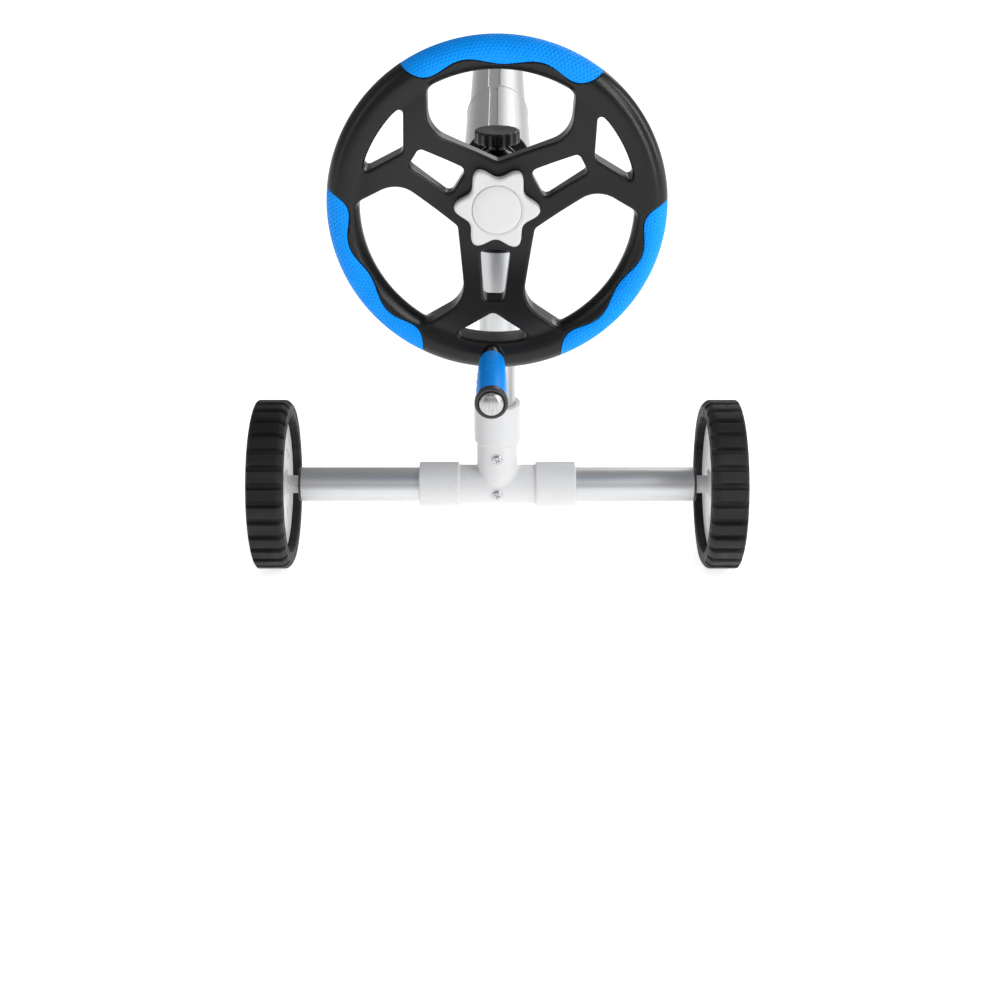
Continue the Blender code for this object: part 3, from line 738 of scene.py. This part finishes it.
def handle_end():
    """The handle's dark end ring, its brushed cap and the bolt that it turns on."""
    back, front = reach_ahead("handle_ring", HANDLE)
    profile = [(0.0128, back), (0.0158, back), (0.0163, back + 0.0008), (0.0166, back + 0.003)]
    profile += [(0.0166, front - 0.0024), (0.0163, front - 0.0010), (0.0157, front - 0.0002)]
    profile += [(0.0150, front), (0.0134, front - 0.0003), (0.0128, front - 0.0012)]
    show(turned_ahead("handle_ring_band", profile, HANDLE), "handle_ring", "dark", 40)

    back, front = reach_ahead("handle_cap", HANDLE)
    radius, rise = 0.0124, 0.0066
    profile = [(0, back), (radius, back), (radius, front - rise)]
    for step in range(1, 12):
        angle = math.radians(90.0 * step / 12)
        profile.append((radius * math.cos(angle) ** 0.9, front - rise + rise * math.sin(angle)))
    profile.append((0, front))
    show(turned_ahead("handle_cap_dome", profile, HANDLE), "handle_cap", "dome", 50)

    back, front = reach_ahead("handle_bolt", HANDLE)
    neck = front - 0.004
    profile = [(0, back), (0.0036, back), (0.0040, back + 0.0005), (0.0040, neck), (0.0070, neck)]
    profile += [(0.0070, front - 0.0008), (0.0062, front), (0, front)]
    show(turned_ahead("handle_bolt_pin", profile, HANDLE, 48), "handle_bolt", "steel", 30)


# Lock knob.


def lock_knob():
    at = BEARING["front"]
    low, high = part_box("lock_knob")
    bottom, top = low.z - at.z, high.z - at.z
    head = top - 0.0135

    def field(x, y, z):
        radius = np.hypot(x, y)
        flutes = 0.0006 * np.cos(16 * np.arctan2(y, x))
        flat = radius - 0.0243 + flutes
        knob = slab(flat, z, head, top, 0.0022)
        dish = np.hypot(radius * 0.25, z - top - 0.0030) - 0.0038
        knob = smooth_max(knob, -dish, 0.002)
        neck = drum(0.0088, x, y, z, bottom, head + 0.005, 0.0004)
        knob = smooth_min(knob, neck, 0.003)
        return np.maximum(knob, -slab(radius - 0.0033, z, -1.0, head + 0.0045, 0.0))

    cell = 0.0007
    corner = (0.027, 0.027, top + 0.002)
    made = moulded("lock_knob_body", field, (-0.027, -0.027, bottom - 0.002), corner, cell, at)
    show(made, "lock_knob", "black", 0)
    threaded("lock_stud_thread", "lock_stud", "Z", 0.003, "steel", 0.001)


# Stands.


BARREL_RADIUS = 0.0244
SOCKET_RADIUS = 0.0250
FOOT_RADIUS = 0.0261
BEARING_SEAT = 0.0170


def housing(end):
    """The bearing housing, with a socket for the post, a cone on top and two ribs below."""
    at = BEARING[end]
    out = OUTWARD[end]
    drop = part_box(f"housing_{end}")[0].z - at.z
    back, front = reach_along(f"housing_{end}", end)
    post_low, post_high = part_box(f"post_{end}")
    post = (post_high.x - post_low.x) / 2 + TUBE_CLEARANCE
    post_top = post_high.z - at.z + TUBE_CLEARANCE

    def field(x, y, z):
        u = out * y
        barrel = drum(BARREL_RADIUS, x, z, u, -back, front, 0.0014)
        lip = drum(BARREL_RADIUS, x, z, u, front - 0.006, front, 0.0014)
        socket = drum(SOCKET_RADIUS, x, u, z, drop, -0.004, 0.0012)
        foot = drum(FOOT_RADIUS, x, u, z, drop, drop + 0.014, 0.0014)
        radius = np.hypot(x, u)
        cone = smooth_max(radius - BARREL_RADIUS, radius * 0.5 + z - 0.0328, 0.003)
        cone = smooth_max(np.maximum(cone, -z), z - 0.0284, 0.001)
        shape = smooth_min(np.minimum(barrel, lip), np.minimum(socket, foot), 0.006)
        shape = smooth_min(shape, cone, 0.003)
        for side in (-1, 1):
            rib = np.maximum(np.abs(x) - 0.0016, -(u * side) + 0.010)
            rib = np.maximum(rib, np.maximum(u * side - 0.0400, -z - 0.062))
            rib = np.maximum(rib, u * side * 0.9 - z - 0.070)
            shape = smooth_min(shape, np.maximum(rib, z), 0.002)
        shape = np.maximum(shape, -(np.hypot(x, z) - BEARING_SEAT))
        seat = slab(radius - post, z, drop - 0.02, post_top, 0.0)
        shape = np.maximum(shape, -seat)
        if end == "front":
            shape = np.maximum(shape, -np.maximum(radius - LOCK_HOLE, -z))
        return shape

    reach = max(front, back) + 0.003
    cell = 0.0011
    low_corner = (-0.029, -reach, drop - 0.003)
    made = moulded(f"housing_{end}_casting", field, low_corner, (0.029, reach, 0.032), cell, at)
    show(made, f"housing_{end}", "black", 0)


def bush(end):
    """The plain bearing in the housing, with a flange on the tube's side."""
    at = BEARING[end]
    back, front = reach_along(f"bush_{end}", end)
    flange = 0.0036 - back
    profile = [(0.0124, -back), (0.0236, -back), (0.0240, 0.0005 - back), (0.0240, flange)]
    profile += [(0.0167, flange), (0.0167, front - 0.0005), (0.0162, front), (0.0124, front)]
    made = turned(f"bush_{end}_sleeve", [(r, OUTWARD[end] * h) for r, h in profile], "Y", at)
    if end == "front":
        drill = [(0, 0.006), (LOCK_HOLE, 0.006), (LOCK_HOLE, 0.035), (0, 0.035)]
        combine(made, [turned("cutter", drill, "Z", at, 32)], "DIFFERENCE")
    show(made, f"bush_{end}", "white", 30)


def round_tube(name, node, axis, wall, look):
    """A round tube with softened ends, over the box of its CAD node."""
    edge = 0.0005
    low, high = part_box(node)
    index = "XYZ".index(axis)
    across = "XYZ".index("Z" if axis == "X" else "X")
    centre = (low + high) / 2
    half = (high[index] - low[index]) / 2
    radius = (high[across] - low[across]) / 2
    inside = radius - wall
    profile = [(inside + edge, -half), (radius - edge, -half), (radius, edge - half)]
    profile += [(radius, half - edge), (radius - edge, half), (inside + edge, half)]
    profile += [(inside, half - edge), (inside, edge - half)]
    show(turned(name, profile, axis, centre, 128), node, look, 30)


TEE_HALF = 0.092
RUN_RADIUS = 0.0234
BRANCH_RADIUS = 0.0241
COLLAR_RADIUS = 0.0267
COLLAR_LENGTH = 0.047
MOUTH_RADIUS = 0.0270


def tee_field(x, u, z):
    """The tee's outer shape, with the branch upwards along z."""
    body = drum(RUN_RADIUS, u, z, x, -TEE_HALF + 0.01, TEE_HALF - 0.01, 0.001)
    collars = drum(COLLAR_RADIUS, u, z, np.abs(x), TEE_HALF - COLLAR_LENGTH, TEE_HALF, 0.0016)
    branch = drum(BRANCH_RADIUS, x, u, z, -0.004, 0.080, 0.003)
    taper = BRANCH_RADIUS - 0.35 * np.clip(0.012 - z, 0, 1)
    branch = np.maximum(branch, np.hypot(x, u) - taper)
    mouth = drum(MOUTH_RADIUS, x, u, z, 0.0582, 0.1058, 0.0016)
    shape = smooth_min(body, collars, 0.0012)
    flare = np.clip((np.abs(x) - 0.006) / 0.02, 0, 1)
    shape = smooth_min(shape, branch, 0.001 + 0.0025 * flare)
    shape = smooth_min(shape, mouth, 0.0015)
    lines = np.minimum(np.abs(z - 0.0525), np.abs(z - 0.1030))
    scribe = np.hypot(lines, np.hypot(x, u) - np.where(z > 0.058, 0.0272, 0.0243)) - 0.0005
    shape = smooth_max(shape, -scribe, 0.0005)
    return shape


def tee(end):
    at = AXLE[end]
    out = OUTWARD[end]
    post_low, post_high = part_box(f"post_{end}")
    post = (post_high.x - post_low.x) / 2 + TUBE_CLEARANCE
    cross_low, cross_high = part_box(f"cross_tube_{end}")
    cross = (cross_high.z - cross_low.z) / 2 + TUBE_CLEARANCE
    seat_floor = post_low.z - at.z - 0.0006
    upper, lower = [middle_of(f"tee_screw_{end}_{label}").z - at.z for label in ("upper", "lower")]

    def field(x, y, z):
        u = out * y
        shape = tee_field(x, u, z)
        for height, surface in ((upper, BRANCH_RADIUS), (lower, RUN_RADIUS)):
            boss = drum(0.0072, x, z - height, u, 0.012, surface + 0.0001, 0.0006)
            shape = smooth_min(shape, boss, 0.0012)
        shape = np.maximum(shape, -(np.hypot(u, z) - cross))
        shape = np.maximum(shape, -np.maximum(np.hypot(x, u) - post, seat_floor - z))
        for height in (upper, lower):
            shape = np.maximum(shape, -np.maximum(np.hypot(x, z - height) - SCREW_HOLE, -u))
        return shape

    low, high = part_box(f"tee_{end}")
    margin = Vector((0.003, 0.003, 0.003))
    cell = 0.0011
    made = moulded(f"tee_{end}_moulding", field, low - at - margin, high - at + margin, cell, at)
    show(made, f"tee_{end}", "white", 0)
    for label in ("upper", "lower"):
        screw_head(f"tee_screw_{end}_{label}", Vector((0, out, 0)), 0.0060, 0.0030, 0.0055)


def screw_head(node, way, radius, height, shank):
    """A pan-head screw with a cross recess, whose head faces the given way."""
    low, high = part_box(node)
    centre = (low + high) / 2
    axis = "Y" if abs(way.y) > 0.5 else "Z"
    index = "XYZ".index(axis)
    sign = 1 if way[index] > 0 else -1
    top = high[index] if sign > 0 else low[index]
    foot = centre.copy()
    foot[index] = top - sign * height
    profile = [(0, -shank), (0.0017, -shank), (0.0020, -shank + 0.0006), (0.0020, 0), (radius * 0.97, 0)]
    for step in range(1, 8):
        angle = math.radians(90.0 * step / 8)
        crown = height * (0.25 + 0.75 * math.sin(angle))
        profile.append((radius * math.cos(angle) ** 0.6, crown))
    profile.append((0, height))
    made = turned(f"{node}_head", [(r, sign * h) for r, h in profile], axis, foot, 64)
    arm, wide, deep = radius * 0.55, radius * 0.11, height * 0.75
    cutters = []
    for long_way in (True, False):
        first, second = (arm, wide) if long_way else (wide, arm)
        loop = [(-first, -second), (first, -second), (first, second), (-first, second)]
        start, stop = sign * (height - deep), sign * (height + 0.002)
        cutters.append(prism("cutter", [turn(loop, 22.0)], axis, start, stop, foot))
    combine(made, cutters, "DIFFERENCE")
    show(made, node, "steel", 30)


def tube_cap(end, hand):
    """A dark plug in the end of a cross tube, with a thin flange."""
    node = f"tube_cap_{end}_{hand}"
    low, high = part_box(node)
    at = AXLE[end]
    side = -1 if hand == "left" else 1
    inner, outer = sorted((abs(low.x), abs(high.x)))
    radius = (high.z - low.z) / 2
    plug = 0.0179
    flange = outer - 0.002
    profile = [(AXLE_HOLE, inner), (plug - 0.0008, inner), (plug, inner + 0.0010), (plug, flange)]
    profile += [(radius - 0.0004, flange), (radius, flange + 0.0005), (radius, outer - 0.0007)]
    profile += [(radius - 0.0008, outer), (AXLE_HOLE, outer)]
    made = turned(f"{node}_plug", [(r, side * h) for r, h in profile], "X", at)
    show(made, node, "dark", 30)


def stand(end):
    housing(end)
    bush(end)
    tee(end)
    round_tube(f"post_{end}_tube", f"post_{end}", "Z", 0.002, "along_z")
    round_tube(f"cross_tube_{end}_tube", f"cross_tube_{end}", "X", 0.0018, "along_x")
    low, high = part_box(f"axle_{end}")
    half = (high.x - low.x) / 2
    radius = (high.z - low.z) / 2
    profile = [(0, -half), (radius - 0.001, -half), (radius, 0.001 - half), (radius, half - 0.001)]
    profile += [(radius - 0.001, half), (0, half)]
    show(turned(f"axle_{end}_pin", profile, "X", AXLE[end], 64), f"axle_{end}", "steel", 30)
    for hand in ("left", "right"):
        tube_cap(end, hand)


# Reel tubes.


def grooved(radius, width, floor, lip=0.0005, segments=160):
    """A round outline with a flat-bottomed groove whose lips are rounded."""
    half = math.degrees(math.asin((width / 2 + lip) / radius))
    outline = [clock(radius, half + (360 - 2 * half) * step / segments) for step in range(segments + 1)]
    shoulder = math.sqrt(radius**2 - (width / 2) ** 2) - lip
    outline += [(-width / 2, shoulder), (-width / 2, floor), (width / 2, floor), (width / 2, shoulder)]
    return turn(outline, GROOVE_TURN)


def grooved_tube(name, node, outlines, look):
    low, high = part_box(node)
    centre = Vector((0, (low.y + high.y) / 2, HUB.z))
    half = (high.y - low.y) / 2
    made = prism(name, outlines, "Y", -half, half, centre)
    show(bevel(made, 0.0004, 2, 60), node, look, 25)
    return made


def reel_tubes():
    sleeve = [grooved(0.0380, 0.0100, 0.0345), grooved(0.0362, 0.0136, 0.0327)]
    inner = [grooved(0.0355, 0.0146, 0.0321), grooved(0.0337, 0.0182, 0.0303)]
    ring = [grooved(0.0386, 0.0092, 0.0349), grooved(0.0359, 0.0140, 0.0325)]
    lip = [grooved(0.0386, 0.0090, 0.0350), grooved(0.0372, 0.0118, 0.0336)]
    grooved_tube("centre_tube_extrusion", "centre_tube", sleeve, "along_y")
    for end in ("front", "rear"):
        grooved_tube(f"inner_tube_{end}_extrusion", f"inner_tube_{end}", inner, "along_y")
        grooved_tube(f"ring_{end}_guide", f"ring_{end}", ring, "dark")
        node = f"sleeve_{end}"
        low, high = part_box(node)
        out = OUTWARD[end]
        tip, root = (high.y, low.y) if out < 0 else (low.y, high.y)
        made = prism(f"{node}_extrusion", sleeve, "Y", root - tip, 0.0, Vector((0, tip, HUB.z)))
        combine(made, [prism("lip", lip, "Y", out * 0.0032, 0.0, Vector((0, tip, HUB.z)))], "UNION")
        show(bevel(made, 0.0003, 2, 50), node, "along_y", 25)
        plug(end)
        screw_head(f"reel_screw_{end}", Vector((0, 0, -1)), 0.0042, 0.0028, 0.008)
        screw_head(f"length_screw_{end}", Vector((0, 0, -1)), 0.0042, 0.0028, 0.0024)


def plug(end):
    """The plug that carries a sleeve on its shaft: a round flange and a grooved core."""
    node = f"plug_{end}"
    low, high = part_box(node)
    out = OUTWARD[end]
    face, deep = (low.y, high.y) if out < 0 else (high.y, low.y)
    at = Vector((0, face, HUB.z))
    inward = -out
    length = abs(deep - face)
    profile = [(SHAFT_BORE, 0), (0.0372, 0), (0.0380, inward * 0.0008)]
    profile += [(0.0380, inward * 0.0040), (SHAFT_BORE, inward * 0.0040)]
    made = turned(f"{node}_flange", profile, "Y", at, 128)
    core = [grooved(0.0333, 0.0188, 0.0300), circle(SHAFT_BORE, 64)]
    combine(made, [prism("core", core, "Y", inward * 0.0030, inward * length, at)], "UNION")
    show(made, node, "black", 30)


def front_shaft():
    """A round bar whose front end is a hexagon, bored for the star knob's stud."""
    low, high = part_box("shaft_front")
    back, front = high.y - HUB.y, low.y - HUB.y
    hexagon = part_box("handwheel")[1].y - HUB.y
    profile = [(0, back), (0.0112, back), (0.0120, back - 0.0008), (0.0120, hexagon), (0, hexagon)]
    made = turned("shaft_front_bar", profile, "Y", HUB, 96)
    flats = [clock(0.0120, 90 + 60 * step) for step in range(6)]
    combine(made, [prism("hexagon", [flats], "Y", front, hexagon + 0.001, HUB)], "UNION")
    bore = [(0, front - 0.004), (0.0054, front - 0.004), (0.0054, 0.0300), (0, 0.0300)]
    combine(made, [turned("cutter", bore, "Y", HUB, 48)], "DIFFERENCE")
    show(made, "shaft_front", "steel", 30)


def rear_shaft():
    """A round bar with a head that keeps it in its bearing."""
    low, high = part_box("shaft_rear")
    at = BEARING["rear"]
    back, head = low.y - at.y, high.y - at.y
    neck = head - 0.006
    profile = [(0, back), (0.0112, back), (0.0120, back + 0.0008), (0.0120, neck), (0.0172, neck)]
    profile += [(0.0180, neck + 0.0008), (0.0180, head - 0.0012), (0.0168, head), (0.0070, head)]
    profile += [(0.0060, head - 0.0030), (0, head - 0.0030)]
    show(turned("shaft_rear_bar", profile, "Y", at, 96), "shaft_rear", "steel", 30)


# Road wheels.

LUGS = 30
LUG_HEIGHT = 0.0058
SHOULDER = 0.0930
TYRE_HOLE = 0.0806


def tyre_mesh(radius, inside, outside):
    """A ring with rounded lugs across the tread, softened shoulders and a thin bead at each side."""
    width = outside - inside
    stations = 900
    rings = []
    wall = [(0.0840, 0.0), (0.0850, 0.0006), (0.0900, 0.0006), (0.0912, 0.0)]
    tread = [(0.0, 0.0), (0.35, 0.0012), (0.70, 0.0034), (0.92, 0.0056), (1.0, 0.0080), (1.0, 0.0120)]
    outer_tread = [(0.0, 0.0), (0.35, 0.0006), (0.75, 0.0016), (1.0, 0.0032), (1.0, 0.0120)]
    for step in range(stations):
        degrees = 360.0 * step / stations
        phase = math.cos(math.radians(degrees * LUGS))
        lug = 1.0 / (1.0 + math.exp(-14.0 * (phase + 0.55)))
        valley = radius - LUG_HEIGHT
        rise = valley + (radius - valley) * lug - SHOULDER
        rib = 0.0008 * max(0.0, math.cos(math.radians(degrees * 15))) ** 12
        bead = [(TYRE_HOLE - rib, 0.0015), (TYRE_HOLE + 0.0015 - rib, 0.0)] + wall
        points = bead + [(SHOULDER + rise * share, depth) for share, depth in tread]
        far = bead + [(SHOULDER + rise * share, depth) for share, depth in outer_tread]
        points += [(r, width - depth) for r, depth in reversed(far)]
        x = np.array([depth for r, depth in points])
        r = np.array([r for r, depth in points])
        angle = math.radians(180 + degrees)
        rings.append(np.stack([x, r * math.sin(angle), r * math.cos(angle)], 1))
    return rings


HUB_OUTSIDE = 0.0785
HUB_WINDOWS = 6
INNER_WINDOW = ((0.0030, 0.0280), (0.0160, 0.0390), (0.0030, 0.0530))
OUTER_WINDOW = ((-0.0040, 0.0360), (-0.0040, 0.0640), (-0.0200, 0.0560))


def hub_field(x, y, z):
    """The wheel's hub, with x counted outwards from its neck."""
    radius = np.hypot(y, z)
    angle = np.arctan2(y, z)
    dome = 0.0030 * np.clip(1 - radius / 0.075, 0, 1)
    disc = slab(radius - HUB_OUTSIDE, x + dome, 0.0186, 0.0232, 0.0006)
    rim = slab(np.abs(radius - 0.0776) - 0.0022, x, 0.0184, 0.0469, 0.0008)
    boss = slab(radius - 0.0160, x, 0.0135, 0.0374, 0.0012)
    neck = slab(radius - 0.0105, x, 0.0, 0.0150, 0.0006)
    shape = smooth_min(smooth_min(disc, rim, 0.002), smooth_min(boss, neck, 0.001), 0.003)
    sector = math.tau / HUB_WINDOWS
    local = (angle + sector / 2) % sector - sector / 2
    across, out = radius * np.sin(local), radius * np.cos(local)
    pair = np.minimum(triangle(across, out, INNER_WINDOW), triangle(across, out, OUTER_WINDOW))
    shape = smooth_max(shape, -pair, 0.0012)
    half_way = (angle % sector) - sector / 2
    rib = np.maximum(np.abs(radius * np.sin(half_way)) - 0.0010, 0.014 - radius)
    rib = np.maximum(np.maximum(rib, radius - 0.0770), np.maximum(0.0210 - x, x - 0.0360))
    shape = smooth_min(shape, rib, 0.0015)
    return np.maximum(shape, -(radius - AXLE_HOLE))


def triangle(x, y, corners):
    """A flat field of a triangle whose corners run either way round."""
    distance = None
    middle = np.mean(corners, 0)
    for (ax, ay), (bx, by) in zip(corners, corners[1:] + corners[:1]):
        length = math.hypot(bx - ax, by - ay)
        nx, ny = (by - ay) / length, (ax - bx) / length
        if nx * (middle[0] - ax) + ny * (middle[1] - ay) > 0:
            nx, ny = -nx, -ny
        edge = nx * (x - ax) + ny * (y - ay)
        distance = edge if distance is None else smooth_max(distance, edge, 0.003)
    return distance


def road_wheels():
    """Four wheels from one model each of the tyre, the hub and the cap."""
    low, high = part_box("tyre_front_right")
    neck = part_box("wheel_hub_front_right")[0].x
    radius = AXLE["front"].z - low.z
    tyre = wrapped("tyre", tyre_mesh(radius, low.x, high.x), (0, 0, 0), closed=True)
    cell = 0.0011
    hub = moulded("hub", hub_field, (-0.003, -0.083, -0.083), (0.050, 0.083, 0.083), cell, (0, 0, 0))
    low_cap, high_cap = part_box("wheel_cap_front_right")
    length = high_cap.x - low_cap.x
    floor = length - 0.0024
    profile = [(0, length), (0.0040, length - 0.0001), (0.0080, length - 0.0006)]
    profile += [(0.0100, length - 0.0016), (0.0110, length - 0.0032), (0.0110, 0.0006), (0.0105, 0)]
    profile += [(0.0064, 0), (0.0064, floor), (0, floor)]
    cap = turned("cap", profile, "X", (0, 0, 0), 64)
    for end in ("front", "rear"):
        for hand, side in (("left", -1), ("right", 1)):
            label = f"{end}_{hand}"
            at = AXLE[end]
            parts = (("tyre", "tread", tyre, low.x, "rubber"), ("wheel_hub", "disc", hub, neck, "white"))
            parts += (("wheel_cap", "button", cap, low_cap.x, "white"),)
            for part, word, model, start, look in parts:
                place_at = at + Vector((side * start, 0, 0))
                piece = link(f"{part}_{label}_{word}", model.data.copy(), place_at)
                if side < 0:
                    piece.rotation_euler = (0, 0, math.pi)
                show(piece, f"{part}_{label}", look, 0 if part == "wheel_hub" else 40)
    for model in (tyre, hub, cap):
        bpy.data.objects.remove(model)


# Stage.


def area_light(name, at, target, size, power):
    data = bpy.data.lights.new(name, "AREA")
    data.shape = "RECTANGLE"
    data.size, data.size_y = size
    data.energy = power
    lamp = bpy.data.objects.new(name, data)
    lamp.location = at
    lamp.rotation_euler = (Vector(target) - Vector(at)).to_track_quat("-Z", "Y").to_euler()
    bpy.context.scene.collection.objects.link(lamp)


# How bright the room is to the object, and how bright the camera sees it.
ROOM_LIGHT = 0.30
BACKDROP_LIGHT = 1.2


def studio():
    """A white backdrop for the camera, and a dimmer room for the object to reflect."""
    world = bpy.data.worlds.new("studio")
    world.use_nodes = True
    nodes, links = world.node_tree.nodes, world.node_tree.links
    backdrop = nodes["Background"]
    backdrop.inputs["Color"].default_value = (1, 1, 1, 1)
    backdrop.inputs["Strength"].default_value = BACKDROP_LIGHT
    room = nodes.new("ShaderNodeBackground")
    room.inputs["Color"].default_value = (1, 1, 1, 1)
    room.inputs["Strength"].default_value = ROOM_LIGHT
    path = nodes.new("ShaderNodeLightPath")
    mix = nodes.new("ShaderNodeMixShader")
    links.new(path.outputs["Is Camera Ray"], mix.inputs[0])
    links.new(room.outputs["Background"], mix.inputs[1])
    links.new(backdrop.outputs["Background"], mix.inputs[2])
    links.new(mix.outputs["Shader"], nodes["World Output"].inputs["Surface"])
    bpy.context.scene.world = world


def stage():
    """A pale floor, a key light from the right, softer fills and a lamp for the rear stand."""
    bpy.context.scene.view_settings.view_transform = "Standard"
    studio()
    shape = bmesh.new()
    bmesh.ops.create_grid(shape, x_segments=1, y_segments=1, size=30)
    mesh = bpy.data.meshes.new("floor")
    shape.to_mesh(mesh)
    shape.free()
    floor = link("floor", mesh, (0, 0, -0.0005))
    pale = Finish("pale_floor", (0.85, 0.85, 0.85), 0.9, Specular_IOR_Level=0.0)
    pale.set("Emission Color", (1, 1, 1, 1))
    pale.set("Emission Strength", 0.75)
    floor.data.materials.append(pale.material)
    front, rear = AXLE["front"].y, AXLE["rear"].y
    middle = (0, front, 0.35)
    area_light("key", (2.0, front - 1.2, 2.2), middle, (1.2, 1.2), 20)
    area_light("soft_box", (-0.3, front - 2.4, 1.8), middle, (1.6, 0.7), 3)
    area_light("strip", (1.5, front - 1.4, 1.0), (0, front, 0.5), (0.25, 1.2), 11)
    area_light("edge", (1.4, front + 0.1, 1.0), (0, front, 0.5), (0.2, 1.0), 5)
    area_light("left_fill", (-2.2, front - 1.0, 1.3), middle, (0.5, 1.8), 5)
    area_light("rear", (1.5, rear + 2.0, 2.4), (0, rear, 0.3), (2.0, 2.0), 40)


# The camera stands in front of the handwheel, a little above it.
CAMERA_AHEAD = 1.7126
CAMERA_HEIGHT = 0.9238
CAMERA_TILT = 24.11
CAMERA_LENS = 57.61
CAMERA_SHIFT = -0.06
# The view ends just past the front sleeve, because the handwheel hides the tube from there on.
CAMERA_DEPTH_PAST_SLEEVE = 0.30


def camera():
    data = bpy.data.cameras.new("camera")
    data.lens = CAMERA_LENS
    data.sensor_width = 36.0
    data.shift_y = CAMERA_SHIFT
    data.clip_start = 0.05
    made = bpy.data.objects.new("camera", data)
    made.location = (0.003, AXLE["front"].y - CAMERA_AHEAD, CAMERA_HEIGHT)
    made.rotation_euler = (math.radians(90 - CAMERA_TILT), 0, 0)
    bpy.context.scene.collection.objects.link(made)
    bpy.context.scene.camera = made
    end = Vector((0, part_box("sleeve_front")[1].y + CAMERA_DEPTH_PAST_SLEEVE, HUB.z))
    away = end - made.location
    tilt = math.radians(CAMERA_TILT)
    data.clip_end = away.y * math.cos(tilt) - away.z * math.sin(tilt)


handwheel()
for label in PAD_MIDDLES:
    grip(label)
star_knob()
handle_sleeve()
handle_end()
lock_knob()
for end in ("front", "rear"):
    stand(end)
reel_tubes()
front_shaft()
rear_shaft()
road_wheels()
stage()
camera()
